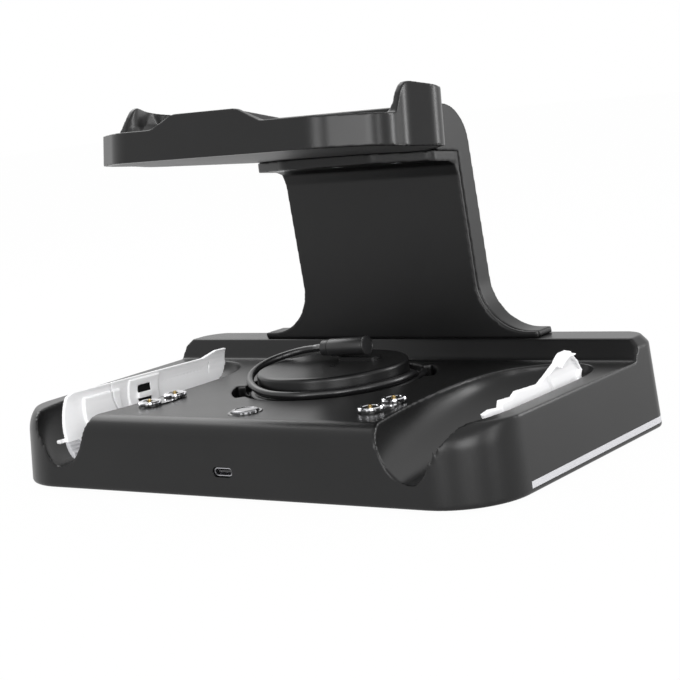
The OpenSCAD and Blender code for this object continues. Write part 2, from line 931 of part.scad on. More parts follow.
// Plan outline of the tongue that the tray stands on, with rounded ends
module tongue_outline(root_y) {
    h = arm_half + 0.4;
    polygon(rounded(
        [[-h, root_y], [-h, tongue_end_y], [-h / 2, tongue_y], [h / 2, tongue_y],
            [h, tongue_end_y], [h, root_y]],
        [0, 5, 12, 12, 5, 0]));
}

module arm_front_panel() {
    neck_z = under_tray(front_line(120)) - tongue_t;
    neck_y = front_line(neck_z);
    color(satin_black) placed() difference() {
        union() {
            intersection() {
                along_y(tray_y, base_d) arm_front_view();
                along_x(arm_foot_half + 1) polygon([
                    [front_line(arm_z), arm_z], [front_line(arm_z) + panel_t, arm_z],
                    [neck_y + panel_t, neck_z], [neck_y + panel_t, under_tray(neck_y + panel_t)],
                    [neck_y - 6, under_tray(neck_y - 6)], [neck_y - 6, neck_z + 0.8],
                    [neck_y - 1.5, neck_z - 1], [front_line(neck_z - 6), neck_z - 6]
                ]);
            }
            intersection() {
                linear_extrude(arm_top) tongue_outline(neck_y);
                along_x(arm_half + 1) polygon([
                    [neck_y, under_tray(neck_y)], [tongue_y - 1, under_tray(tongue_y - 1)],
                    [tongue_y - 1, under_tray(tongue_y - 1) - tongue_t], [neck_y, neck_z]
                ]);
            }
        }
        for (p = tray_screw_spots) at_tray() translate([p.x, p.y, -tongue_t]) {
            translate([0, 0, -2]) cylinder(r = screw_head_r + free_gap, h = 2 + screw_head_h);
            cylinder(r = screw_r + free_gap, h = tongue_t + 1);
        }
    }
}

module arm_screws() {
    color("#8d9093") placed()
        for (side = [-1, 1], x = arm_screw_x)
            translate([side * x, arm_screw_y, block_h - wall - screw_head_h])
                screw(wall + arm_screw_grip);
}

// Headset tray: a sculpted top shell and a bottom cover, tilted front up

hump_x = -3.5;
hump_top = 16;
hump_foot = 27.5;
tray_cover_t = 2;
tray_corner = [3.8, 15.6];
tray_waist = [7.1, 32];
tray_wide_y = 49.8;
tray_back_half = 41;
horn_foot_y = 24.8;
horn_rise_y = 29.3;
horn_top_y = 32.8;
tray_lip = 3.2;

// Plan outline of the tray: wide front corners, a waist and wide ends beside the horns
function tray_outline(inset = 0) =
    let (
        i = inset,
        less = max(0, inset - 6) * 0.6,
        right = [
            [tray_half - tray_corner.x - i, tray_corner.y + i / 3],
            [tray_half - tray_waist.x - i, tray_waist.y],
            [tray_half - i, tray_wide_y],
            [tray_back_half - i / 2, tray_d - i]
        ]
    )
    rounded(
        concat(
            [[-tray_front_half + i / 2, i], [tray_front_half - i / 2, i]],
            right,
            [for (k = [3:-1:0]) [-right[k].x, right[k].y]]
        ),
        [20, 20, 13 - less, 12 - less, 12 - less, 6, 6, 12 - less, 12 - less, 13 - less]
    );

function drawn_in(outline, k, z) =
    [for (p = outline) [p.x * k, tray_d / 2 + (p.y - tray_d / 2) * k, z]];

module at_tray() {
    translate([0, tray_y, tray_z]) rotate([-tray_tilt, 0, 0]) children();
}

// Space above the front rim and its hump, as seen from the front
module above_hump() {
    side = tray_half + 2;
    high = rim_horn + 8;
    polygon(rounded([
        [side, high], [-side, high], [-side, rim_low], [hump_x - hump_foot, rim_low],
        [hump_x - hump_top, rim_hump], [hump_x + hump_top, rim_hump],
        [hump_x + hump_foot, rim_low], [side, rim_low]
    ], [0, 0, 0, 8, 8, 8, 8, 0]));
}

// Space above the rim and its horns, as seen from the side
module above_horns() {
    polygon(rounded([
        [-3, rim_low], [horn_foot_y, rim_low], [horn_rise_y, rim_horn - 4],
        [horn_top_y, rim_horn + 0.6], [tray_d + 3, rim_low + 5.6], [tray_d + 3, rim_horn + 7],
        [-3, rim_horn + 7]
    ], [0, 2.4, 5, 4, 0, 0, 0]));
}

// What is cut from the block above the rim
module rim_cut() {
    intersection() {
        along_y(-2, tray_d + 2) above_hump();
        along_x(tray_half + 1) above_horns();
    }
}

module tray_block() {
    loft([
        drawn_in(tray_outline(), 1, 0),
        drawn_in(tray_outline(), 1 - tray_draft, rim_horn + 1)
    ]);
}

ramp_len = 60;
ramp_knee = [26, 14.4];
slope_foot = [15.7, 7.7];
slope_knee = [6.2, 17.7];

// Ramp that runs back from the front hump down to the tray's floor
module hump_ramp() {
    intersection() {
        along_y(0, ramp_len) translate([hump_x, 0]) polygon([
            [-hump_foot - 3, 0], [hump_foot + 3, 0], [hump_top, rim_hump], [-hump_top, rim_hump]]);
        along_x(hump_foot + 8) polygon([
            [0, 0], [ramp_len, 0], [ramp_len, tray_floor - 1], ramp_knee, [0, rim_hump - 0.3]]);
    }
}

// Slopes that lead from the tray's floor up to the horns
module horn_slopes() {
    for (side = [-1, 1])
        along_y(horn_foot_y - 4, tray_d) polygon([
            [side * (tray_half + 2), 0], [side * (tray_half - slope_foot.x - 12), 0],
            [side * (tray_half - slope_foot.x), slope_foot.y],
            [side * (tray_half - slope_knee.x), slope_knee.y],
            [side * (tray_half - 2 * rim_t), rim_horn + 2], [side * (tray_half + 2), rim_horn + 2]
        ]);
}

module tray_dish() {
    difference() {
        loft([
            drawn_in(tray_outline(rim_t + 12), 1, tray_floor),
            drawn_in(tray_outline(rim_t + 3), 1, rim_low - 1),
            drawn_in(tray_outline(rim_t + 1.2), 1, rim_low + 4),
            drawn_in(tray_outline(rim_t), 1 - tray_draft, rim_horn + 2)
        ]);
        hump_ramp();
        horn_slopes();
    }
}

tray_screw_spots = [[-30, tray_d - 5.5], [0, tray_d - 5.5], [30, tray_d - 5.5]];

module headset_tray() {
    color(satin_black) placed() at_tray() difference() {
        tray_block();
        rim_cut();
        tray_dish();
        difference() {
            loft([
                lifted(tray_outline(tray_lip), -1), lifted(tray_outline(tray_lip), tray_floor - 2)
            ]);
            for (p = tray_screw_spots) translate([p.x, p.y, tray_cover_t])
                cylinder(r = post_r, h = tray_floor);
        }
        for (p = tray_screw_spots) translate([p.x, p.y, -1])
            cylinder(r = screw_r, h = tray_floor);
    }
}

module tray_bottom_cover() {
    color("#232324") placed() at_tray() difference() {
        loft([
            lifted(tray_outline(tray_lip + cover_gap), 0),
            lifted(tray_outline(tray_lip + cover_gap), tray_cover_t)
        ]);
        for (p = tray_screw_spots) translate([p.x, p.y, -1])
            cylinder(r = screw_r + free_gap, h = tray_cover_t + 2);
    }
}

module tray_screws() {
    color("#8d9093") placed() at_tray()
        for (p = tray_screw_spots) translate([p.x, p.y, -tongue_t])
            screw(tongue_t - screw_head_h + tray_cover_t + 1);
}

// Battery covers that hold the controllers' charging contacts, lying in the cradles

cover_sag = 4.5;
pad_t = 1.2;
window_len = 7;
window_w = 9;
window_y = 54;
left_lean = 0;
left_yaw = 8.5;
right_lean = 8;
left_set = [17.4, 28];
right_set = [2.4, 32.2];

// Outlines in each cover's own frame: height above its middle line, distance from the
// front of the base
left_outline = [
    [-17, 8], [-10, 11], [-2, 13], [7.5, 15], [9, 18], [9, 92], [11.4, 99], [11.4, 105],
    [4, 107], [-0.5, 105.5], [-4.5, 100], [-6.5, 92], [-9, 60], [-12, 34], [-15, 18], [-18, 9]
];
right_outline = [
    [-2.4, 26], [-1.8, 31], [-2.5, 37.6], [0, 38.4], [-0.6, 47.8], [1, 50], [0, 67.4],
    [2.6, 73], [6, 77.7], [10.6, 77.9], [10.7, 83], [8.5, 87.5], [3.8, 96], [-1, 100.8],
    [-7, 98], [-9.5, 80], [-10.5, 60], [-9.5, 38], [-6, 28]
];

// Long curved shell, its hollow side facing up in its own frame
module cover_shell(outline, thick = cover_t) {
    half = cover_w / 2;
    r = (pow(half, 2) + pow(cover_sag, 2)) / (2 * cover_sag);
    intersection() {
        translate([0, 0, r - cover_sag]) rotate([-90, 0, 0]) difference() {
            cylinder(r = r, h = base_d, $fn = 96);
            translate([0, 0, -1]) cylinder(r = r - thick, h = base_d + 2, $fn = 96);
        }
        translate([0, 0, -cover_sag - 1]) linear_extrude(cover_sag + 2) polygon(outline);
    }
}

module cover_window(grow, z0, z1) {
    translate([-window_w / 2 - grow, window_y - grow, z0])
        cube([window_w + 2 * grow, window_len + 2 * grow, z1 - z0]);
}

module left_battery_cover() {
    color("#eeeef0") left_place() difference() {
        union() {
            cover_shell(left_outline);
            intersection() {
                cover_shell(left_outline, cover_t + pad_t);
                union() {
                    translate([-6, 24, -cover_w]) cube([11, 20, cover_w]);
                    cover_window(6, -cover_w, 0);
                }
            }
        }
        cover_window(0, -cover_sag + cover_t + 0.4, 1);
    }
}

module right_battery_cover() {
    color("#eeeef0") right_place() {
        cover_shell(right_outline);
        intersection() {
            cover_shell(right_outline, cover_t + 3);
            translate([4.6, 78, -cover_w]) cube([6, 5, cover_w]);
        }
    }
}

module left_cover_contact() {
    color("#26262a") left_place()
        translate([-window_w / 2 + free_gap, window_y + free_gap, -cover_sag + cover_t + 0.4])
            cube([window_w - 2 * free_gap, window_len - 2 * free_gap, 0.7]);
}

module left_place() {
    placed() translate([-(cradle_out - left_set.x), 0, left_set.y]) rotate([0, 0, -left_yaw])
        rotate([0, 90 + left_lean, 0]) mirror([1, 0, 0]) children();
}

module right_place() {
    placed() translate([cradle_out - right_set.x, 0, right_set.y])
        rotate([0, 90 + right_lean, 0]) mirror([1, 0, 0]) children();
}

base_shell();
bottom_cover();
rubber_feet();
bottom_screws();
light_strip();
led_board_left();
led_board_right();
main_board();
usb_socket_shell();
usb_socket_tongue();
power_button();
button_bezel();
button_switch();
button_board();
contact_base_left();
contact_base_right();
contact_ring_left_front();
contact_ring_left_rear();
contact_ring_right_front();
contact_ring_right_rear();
contact_pin_left_front();
contact_pin_left_rear();
contact_pin_right_front();
contact_pin_right_rear();
pin_barrels();
contact_board_left();
contact_board_right();
cable_hub();
hub_screw();
cable_winding();
cable_lead();
plug_collar();
plug_body();
plug_tip();
arm_rear_shell();
arm_front_panel();
arm_screws();
headset_tray();
tray_bottom_cover();
tray_screws();
left_battery_cover();
right_battery_cover();
left_cover_contact();
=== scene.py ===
"""Charging station for a virtual reality headset and its two hand controllers.

Lengths are in millimetres in the base frame, X to the right, Y back from the front
of the base and Z up from the bottom edge of its shell, until place() puts them
into the row frame in metres.
"""

import math

import bmesh
import bpy
from mathutils import Matrix, Vector


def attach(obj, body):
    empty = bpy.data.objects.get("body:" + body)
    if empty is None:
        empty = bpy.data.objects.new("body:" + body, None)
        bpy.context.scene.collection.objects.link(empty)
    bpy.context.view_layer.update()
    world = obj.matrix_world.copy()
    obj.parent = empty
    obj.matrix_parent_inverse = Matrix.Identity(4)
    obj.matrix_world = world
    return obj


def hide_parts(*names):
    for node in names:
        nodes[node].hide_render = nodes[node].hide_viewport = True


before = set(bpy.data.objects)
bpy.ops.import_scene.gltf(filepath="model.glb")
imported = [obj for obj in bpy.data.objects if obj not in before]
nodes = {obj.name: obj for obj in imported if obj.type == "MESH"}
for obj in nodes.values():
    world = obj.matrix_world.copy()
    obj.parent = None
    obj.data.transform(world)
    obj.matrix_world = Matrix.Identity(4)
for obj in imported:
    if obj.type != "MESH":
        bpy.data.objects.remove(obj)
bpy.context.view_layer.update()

MM = 0.001
STATION = "station"

BASE_W, BASE_D, FOOT_H = 244.0, 145.0, 1.5
DECK_H, BLOCK_H, WALL = 30.4, 39.0, 2.4
DRAFT_IN, FRONT_R, REAR_R, SHOULDER_R = 2.0, 28.0, 11.0, 8.5
BLOCK_D, BLOCK_LEAN, BLOCK_BEVEL, BOTTOM_T = 23.6, 5.0, 3.2, 2.4
HUB_R, HUB_RISE, HUB_Y, TROUGH_W, TROUGH_DEPTH, CABLE_DIA = 32.2, 7.0, 79.75, 7.4, 4.0, 3.2
RUN_GAP = 0.06

PHOTO_SIZE = 680
SENSOR = 36.0


def place(x, y, z):
    """A point of the base frame, in the row frame."""
    return Vector((x, y - BASE_D / 2, z + FOOT_H)) * MM


# Camera at the photograph's viewing angle

CAMERA_SPOT = (460.33, -531.0, 166.88)
CAMERA_AZIMUTH, CAMERA_PITCH, CAMERA_ROLL = 36.68, 8.90, -6.65
FOCAL_PX = 1837.5


def add_camera():
    az, pitch, roll = (
        math.radians(a) for a in (CAMERA_AZIMUTH, CAMERA_PITCH, CAMERA_ROLL)
    )
    forward = Vector(
        (-math.sin(az) * math.cos(pitch), math.cos(az) * math.cos(pitch), -math.sin(pitch))
    )
    right = Vector((math.cos(az), math.sin(az), 0))
    up = right.cross(forward)
    turned_right = right * math.cos(roll) + up * math.sin(roll)
    turned_up = up * math.cos(roll) - right * math.sin(roll)
    matrix = Matrix((turned_right, turned_up, -forward)).transposed().to_4x4()
    matrix.translation = place(*CAMERA_SPOT)
    data = bpy.data.cameras.new("camera")
    data.sensor_width = SENSOR
    data.lens = FOCAL_PX / PHOTO_SIZE * SENSOR
    data.clip_start = 0.01
    camera = bpy.data.objects.new("camera", data)
    camera.matrix_world = matrix
    bpy.context.scene.collection.objects.link(camera)
    bpy.context.scene.camera = camera


add_camera()


# Meshes


def add_mesh(name, points, faces):
    mesh = bpy.data.meshes.new(name)
    mesh.from_pydata([tuple(p) for p in points], [], faces)
    mesh.validate()
    work = bmesh.new()
    work.from_mesh(mesh)
    bmesh.ops.remove_doubles(work, verts=work.verts, dist=1e-7)
    bmesh.ops.recalc_face_normals(work, faces=work.faces)
    work.to_mesh(mesh)
    work.free()
    piece = bpy.data.objects.new(name, mesh)
    bpy.context.scene.collection.objects.link(piece)
    return piece


def arc(a, b, c, r, n):
    """Points of the arc that rounds corner b between its neighbours a and c."""
    u, w = (a - b).normalized(), (c - b).normalized()
    half = math.acos(max(-1, min(1, u.dot(w)))) / 2
    centre = b + (u + w).normalized() * r / math.sin(half)
    start = b + u * r / math.tan(half) - centre
    end = b + w * r / math.tan(half) - centre
    first = math.atan2(start.y, start.x)
    sweep = (math.atan2(end.y, end.x) - first + 3 * math.pi) % (2 * math.pi) - math.pi
    return [
        centre + Vector((math.cos(first + sweep * i / n), math.sin(first + sweep * i / n))) * r
        for i in range(n + 1)
    ]


def rounded(corners, radii, n=16):
    """A polygon with each corner rounded by its own radius."""
    p = [Vector(c) for c in corners]
    out = []
    for i, r in enumerate(radii):
        out += arc(p[i - 1], p[i], p[(i + 1) % len(p)], r, n) if r else [p[i]]
    return out


def loft(name, rings, to_row=place):
    """A closed solid through rings that all hold as many points."""
    n = len(rings[0])
    points = [to_row(*p) for ring in rings for p in ring]
    faces = [
        (k * n + i, k * n + (i + 1) % n, (k + 1) * n + (i + 1) % n, (k + 1) * n + i)
        for k in range(len(rings) - 1)
        for i in range(n)
    ]
    faces += [tuple(range(n)), tuple(range((len(rings) - 1) * n, len(rings) * n))]
    return add_mesh(name, points, faces)


def prism(name, outline, axis, low, high, to_row=place):
    """An outline drawn in the plane across an axis, extruded along that axis."""
    spread = {
        "x": lambda p, t: (t, p[0], p[1]),
        "y": lambda p, t: (p[0], t, p[1]),
        "z": lambda p, t: (p[0], p[1], t),
    }[axis]
    return loft(name, [[spread(p, t) for p in outline] for t in (low, high)], to_row)


def lathe(name, profile, to_row, n=144, notch=None):
    """A profile of (radius, height) turned about its own Z axis."""
    rings = []
    for i in range(n):
        a = 2 * math.pi * i / n
        cut = notch(i / n) if notch else 0
        rings.append(
            [((r - cut * k) * math.cos(a), (r - cut * k) * math.sin(a), z) for r, z, k in
             [(*p, 0) if len(p) == 2 else p for p in profile]]
        )
    m = len(profile)
    points = [to_row(*p) for ring in rings for p in ring]
    faces = [
        (i * m + j, ((i + 1) % n) * m + j, ((i + 1) % n) * m + (j + 1) % m, i * m + (j + 1) % m)
        for i in range(n)
        for j in range(m)
    ]
    return add_mesh(name, points, faces)


def bake(piece):
    """Applies the modifiers of a piece."""
    graph = bpy.context.evaluated_depsgraph_get()
    mesh = bpy.data.meshes.new_from_object(piece.evaluated_get(graph))
    piece.modifiers.clear()
    piece.data = mesh
    return piece


def combine(piece, tool, operation):
    change = piece.modifiers.new(operation, "BOOLEAN")
    change.operation = operation
    change.solver = "MANIFOLD"
    change.object = tool
    bake(piece)
    bpy.data.objects.remove(tool)
    return piece


def cut(piece, *tools):
    for tool in tools:
        combine(piece, tool, "DIFFERENCE")
    return piece


def join(piece, *tools):
    for tool in tools:
        combine(piece, tool, "UNION")
    return piece


def common(piece, tool):
    return combine(piece, tool, "INTERSECT")


# Voxel size and smoothing passes of each softened solid
SHELL_GRID, ARM_GRID, PANEL_GRID = (0.62, 5), (0.6, 5), (0.5, 6)
TRAY_GRID, COVER_GRID, TIP_GRID = (0.45, 4), (0.3, 2), (0.3, 1)


def soften(piece, voxel, passes):
    """Gives every edge of a solid the small radius of a moulding."""
    grid = piece.modifiers.new("grid", "REMESH")
    grid.mode = "VOXEL"
    grid.voxel_size = voxel * MM
    relax = piece.modifiers.new("relax", "SMOOTH")
    relax.factor = 0.5
    relax.iterations = passes
    return bake(piece)


def smooth(piece, angle=35):
    for face in piece.data.polygons:
        face.use_smooth = True
    piece.data.set_sharp_from_angle(angle=math.radians(angle))
    return piece


def finish_piece(piece, material, slot, *replaced, body=STATION, angle=35):
    smooth(piece, angle)
    piece.data.materials.clear()
    piece.data.materials.append(material)
    if replaced:
        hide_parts(*replaced)
    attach(piece, body)
    return piece


# Materials


class Nodes:
    """Short calls for a node tree."""

    def __init__(self, tree):
        self.tree = tree

    def add(self, kind, **inputs):
        node = self.tree.nodes.new(kind)
        for key, value in inputs.items():
            name = key.replace("_", " ").title() if key.islower() else key
            self.feed(node.inputs[name], value)
        return node

    def feed(self, socket, value):
        if isinstance(value, bpy.types.NodeSocket):
            self.tree.links.new(value, socket)
        else:
            socket.default_value = value

    def calculate(self, operation, first, second):
        node = self.add("ShaderNodeMath")
        node.operation = operation
        self.feed(node.inputs[0], first)
        self.feed(node.inputs[1], second)
        return node.outputs[0]

    def mix(self, share, first, second):
        """Two shaders mixed, with the share of the second."""
        node = self.add("ShaderNodeMixShader")
        self.feed(node.inputs[0], share)
        self.feed(node.inputs[1], first.outputs[0])
        self.feed(node.inputs[2], second.outputs[0])
        return node.outputs[0]


def plastic(
    name, tone, rough, *, grain=0.05, grain_size=0.35, mottle=0.12, coat=0.0, metallic=0.0, ior=1.5
):
    """A moulded surface: fine grain, faint mottling of colour and of gloss."""
    material = bpy.data.materials.new(name)
    material.use_nodes = True
    tree = material.node_tree
    g = Nodes(tree)
    shader = tree.nodes["Principled BSDF"]
    where = g.add("ShaderNodeTexCoord").outputs["Object"]
    fine = g.add("ShaderNodeTexNoise", Vector=where, scale=1000 / grain_size, detail=3.0)
    broad = g.add("ShaderNodeTexNoise", Vector=where, scale=38.0, detail=5.0, roughness=0.6)
    shade = g.add("ShaderNodeMapRange")
    g.feed(shade.inputs["Value"], broad.outputs["Fac"])
    for key, value in (("From Min", 0.3), ("From Max", 0.7)):
        shade.inputs[key].default_value = value
    shade.inputs["To Min"].default_value = 1 - mottle
    shade.inputs["To Max"].default_value = 1 + mottle
    colour = g.add("ShaderNodeVectorMath")
    colour.operation = "SCALE"
    colour.inputs[0].default_value = tone
    g.feed(colour.inputs["Scale"], shade.outputs["Result"])
    g.feed(shader.inputs["Base Color"], colour.outputs["Vector"])
    gloss = g.add("ShaderNodeMapRange")
    g.feed(gloss.inputs["Value"], broad.outputs["Fac"])
    gloss.inputs["To Min"].default_value = rough * 0.9
    gloss.inputs["To Max"].default_value = rough * 1.1
    g.feed(shader.inputs["Roughness"], gloss.outputs["Result"])
    bump = g.add("ShaderNodeBump", Height=fine.outputs["Fac"])
    bump.inputs["Strength"].default_value = grain
    bump.inputs["Distance"].default_value = 0.05 * MM
    g.feed(shader.inputs["Normal"], bump.outputs["Normal"])
    shader.inputs["Metallic"].default_value = metallic
    shader.inputs["IOR"].default_value = ior
    shader.inputs["Coat Weight"].default_value = coat
    shader.inputs["Coat Roughness"].default_value = 0.12
    return material


SATIN = plastic("satin_shell", (0.005, 0.005, 0.0052), 0.3, grain=0.35, ior=1.37)
ARM_SATIN = plastic("arm_shell", (0.005, 0.005, 0.0052), 0.38, grain=0.35, ior=1.37)
COVER = plastic("cover_plastic", (0.05, 0.05, 0.051), 0.45, grain=0.4)
RUBBER = plastic("foot_rubber", (0.03, 0.03, 0.03), 0.7, grain=0.6, grain_size=0.6)
STEEL = plastic("screw_steel", (0.45, 0.46, 0.48), 0.32, grain=0.2, metallic=1.0)
GUIDE = plastic("light_guide", (0.44, 0.44, 0.46), 0.4, grain=0.15, mottle=0.03)
BOARD = plastic("circuit_board", (0.015, 0.12, 0.05), 0.35, grain=0.2, grain_size=1.2)
SOCKET = plastic("socket_metal", (0.42, 0.42, 0.44), 0.3, grain=0.15, metallic=1.0)
GLOSS = plastic("gloss_black", (0.008, 0.008, 0.0085), 0.12, grain=0.05, coat=0.4)
BUTTON = plastic("button_chrome", (0.3, 0.3, 0.31), 0.16, grain=0.08, mottle=0.05, metallic=1.0)
CHROME = plastic("ring_chrome", (0.62, 0.62, 0.64), 0.09, grain=0.05, mottle=0.03, metallic=1.0)
GOLD = plastic("pin_gold", (0.42, 0.31, 0.14), 0.2, grain=0.08, mottle=0.05, metallic=1.0)
JACKET = plastic("cable_jacket", (0.008, 0.008, 0.0085), 0.3, grain=0.1, grain_size=0.5)
PLUG = plastic("plug_plastic", (0.012, 0.012, 0.0125), 0.38, grain=0.3)
WHITE = plastic("cover_white", (0.88, 0.88, 0.89), 0.42, grain=0.15, mottle=0.012)
SMOKED = plastic("cover_clear", (0.5, 0.5, 0.52), 0.25, grain=0.3, grain_size=1.5, mottle=0.2)


def dress(names, material):
    for name in names:
        node = nodes[name]
        node.data.materials.clear()
        node.data.materials.append(material)


dress(["bottom_cover", "tray_bottom_cover"], COVER)
dress(["rubber_feet"], RUBBER)
dress(["bottom_screws", "hub_screw", "arm_screws", "tray_screws"], STEEL)
dress(["light_strip"], GUIDE)
dress(
    [
        "led_board_left", "led_board_right", "main_board", "button_board",
        "contact_board_left", "contact_board_right",
    ],
    BOARD,
)
dress(["usb_socket_shell"], SOCKET)
dress(["usb_socket_tongue", "button_switch", "contact_base_left", "contact_base_right"], GLOSS)
dress(["pin_barrels"] + [n for n in nodes if n.startswith("contact_pin")], GOLD)
dress(["left_cover_contact"], GLOSS)


# Cable, wound into the trough and up to its plug

TROUGH_Z = DECK_H - TROUGH_DEPTH
TROUGH_R = HUB_R + TROUGH_W
CABLE_GAP = 0.05
LOW_LEVEL, HIGH_LEVEL = CABLE_DIA / 2 + CABLE_GAP, 1.5 * CABLE_DIA + 2 * CABLE_GAP
WIND_R, OUTLET_TURN = 34.35, 24.0
TURN_STEPS, SPAN_STEPS = 48, 3
CABLE_LEAD = [
    (8.5, -34.0, 4.95), (0, -35.1, 5.1), (-8, -34.3, 5.4), (-15.5, -31.6, 6.1),
    (-22.5, -27, 7.0), (-28.6, -20.8, 8.0), (-33.2, -13.2, 9.2), (-35.2, -5, 10.5),
    (-34.4, 2.6, 11.8), (-30.8, 8.4, 13.0), (-25.6, 11.6, 14.1), (-21.4, 12.6, 14.7),
    (-18.15, 12.75, 14.95),
]
EXIT_ANGLE, LOW_TURN, CLIMB, HIGH_TURN = 50.0, 360.0, 40.0, 72.0


def ease(t):
    return t * t * (3 - 2 * t)


def cable_route():
    """Clockwise from the outlet in the trough's wall: a low turn, a climb, a high turn."""
    total = LOW_TURN + CLIMB + HIGH_TURN
    steps = int(TURN_STEPS * total / 360)
    route = []
    for i in range(steps):
        along = total * i / steps
        a = math.radians(EXIT_ANGLE - along)
        r = WIND_R + (TROUGH_R - WIND_R) * (1 - ease(min(1, along / OUTLET_TURN)))
        climb = ease(max(0, min(1, (along - LOW_TURN) / CLIMB)))
        z = LOW_LEVEL + (HIGH_LEVEL - LOW_LEVEL) * climb
        route.append((r * math.cos(a), r * math.sin(a), z))
    return [place(x, y + HUB_Y, z + TROUGH_Z) for x, y, z in route + CABLE_LEAD]


def spline(points, per_span):
    """Catmull-Rom curve through the points."""
    ends = [points[0] * 2 - points[1]] + points + [points[-1] * 2 - points[-2]]
    out = []
    for a, b, c, d in zip(ends, ends[1:], ends[2:], ends[3:]):
        for i in range(per_span):
            t = i / per_span
            out.append(
                (b * 2 + (c - a) * t + (a * 2 - b * 5 + c * 4 - d) * t * t
                 + (b * 3 - a - c * 3 + d) * t ** 3) / 2
            )
    return out + [points[-1]]


def add_cable():
    points = spline(cable_route(), SPAN_STEPS)
    curve = bpy.data.curves.new("charging_cable", "CURVE")
    curve.dimensions = "3D"
    line = curve.splines.new("POLY")
    line.points.add(len(points) - 1)
    for target, p in zip(line.points, points):
        target.co = (*p, 1)
    curve.bevel_depth = CABLE_DIA / 2 * MM
    curve.bevel_resolution = 6
    curve.use_fill_caps = True
    line.use_smooth = True
    curve.materials.append(JACKET)
    piece = bpy.data.objects.new("charging_cable", curve)
    bpy.context.scene.collection.objects.link(piece)
    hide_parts("cable_winding", "cable_lead")
    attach(piece, STATION)
    length = sum((b - a).length for a, b in zip(points, points[1:]))
    return piece, points[0], length


cable, cable_exit, cable_length = add_cable()

PLUG_X, PLUG_BACK, PLUG_R, PLUG_REST, PLUG_RISE = -18.0, 12.75, 3.85, 0.15, 3.0
PLUG_SPOT = (PLUG_X, HUB_Y + PLUG_BACK, DECK_H + HUB_RISE + PLUG_R + PLUG_REST)
SLEEVE_LEN, BARREL_LEN, NECK_R, BARREL_EDGE = 4.6, 22.5, 3.4, 0.6
HEAD_R, HEAD_LEN = 4.1, 1.0


def at_plug(along):
    """Frame of a plug piece: its Z runs along the plug's axis."""
    turn = Matrix.Rotation(math.radians(90 - PLUG_RISE), 4, "Y")

    def to_row(x, y, z):
        p = turn @ Vector((x, y, z + along))
        return place(p.x + PLUG_SPOT[0], p.y + PLUG_SPOT[1], p.z + PLUG_SPOT[2])

    return to_row


def add_plug():
    sleeve = lathe(
        "plug_sleeve",
        [(0, 0), (1.7, 0), (1.75, 0.2), (2.1, 4.0), (2.6, SLEEVE_LEN), (0, SLEEVE_LEN)],
        at_plug(0),
    )
    finish_piece(sleeve, GLOSS, "plug_plastic", "plug_collar")
    barrel = lathe(
        "plug_barrel",
        [(0, 0), (3.0, 0), (NECK_R, 0.4), (NECK_R, 3.6), (3.15, 3.75), (3.15, 4.0), (3.7, 4.2),
         (PLUG_R, 4.6), (PLUG_R, BARREL_LEN - BARREL_EDGE), (3.7, 22.3), (3.4, BARREL_LEN),
         (0, BARREL_LEN)],
        at_plug(SLEEVE_LEN),
    )
    finish_piece(barrel, PLUG, "plug_plastic", "plug_body")
    head = lathe(
        "plug_head",
        [(0, 0), (3.9, 0), (HEAD_R, 0.15), (HEAD_R, 0.85), (3.95, HEAD_LEN), (3.7, HEAD_LEN),
         (3.6, 0.7), (0, 0.7)],
        at_plug(SLEEVE_LEN + BARREL_LEN),
    )
    finish_piece(head, PLUG, "plug_plastic", "plug_tip")
    return [sleeve, barrel, head]


plug_pieces = add_plug()
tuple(cable_exit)


# Base shell


def base_outline(z, inset=0.0, shoulder=0.0, n=24):
    lean = DRAFT_IN * z / BLOCK_H + inset
    half = BASE_W / 2 - lean
    y0, y1 = lean + shoulder, BASE_D - lean
    rf, rr = FRONT_R - inset, REAR_R - inset
    rfy = rf - shoulder
    quarter = [math.pi / 2 * i / n for i in range(n + 1)]
    return (
        [(half - rf + rf * math.sin(a), y0 + rfy - rfy * math.cos(a), z) for a in quarter]
        + [(half - rr + rr * math.cos(a), y1 - rr + rr * math.sin(a), z) for a in quarter]
        + [(-half + rr - rr * math.sin(a), y1 - rr + rr * math.cos(a), z) for a in quarter]
        + [(-half + rf - rf * math.cos(a), y0 + rfy - rfy * math.sin(a), z) for a in quarter]
    )


EDGE_R, BLOCK_SINK = 0.8, 6.0
SHOULDER_STEPS = 20


def base_body():
    rings = [base_outline(0, EDGE_R), base_outline(EDGE_R)]
    for i in range(SHOULDER_STEPS + 1):
        a = math.pi / 2 * i / SHOULDER_STEPS
        z = DECK_H - SHOULDER_R * (1 - math.sin(a))
        rings.append(base_outline(z, 0, SHOULDER_R * (1 - math.cos(a))))
    return loft("base_body", rings)


def block_outline(z, bevel=0.0, n=16):
    lean = DRAFT_IN * z / BLOCK_H
    half = BASE_W / 2 - lean - bevel
    y0 = BASE_D - BLOCK_D + (z - DECK_H) * BLOCK_LEAN / (BLOCK_H - DECK_H)
    y1 = BASE_D - lean
    quarter = [math.pi / 2 * i / n for i in range(n + 1)]
    r = REAR_R
    return (
        [(-half, y0, z), (half, y0, z)]
        + [(half - r + r * math.cos(a), y1 - r + r * math.sin(a), z) for a in quarter]
        + [(-half + r - r * math.sin(a), y1 - r + r * math.cos(a), z) for a in quarter]
    )


def base_block():
    return loft(
        "base_block",
        [
            block_outline(DECK_H - BLOCK_SINK), block_outline(BLOCK_H - BLOCK_BEVEL),
            block_outline(BLOCK_H, BLOCK_BEVEL),
        ],
    )


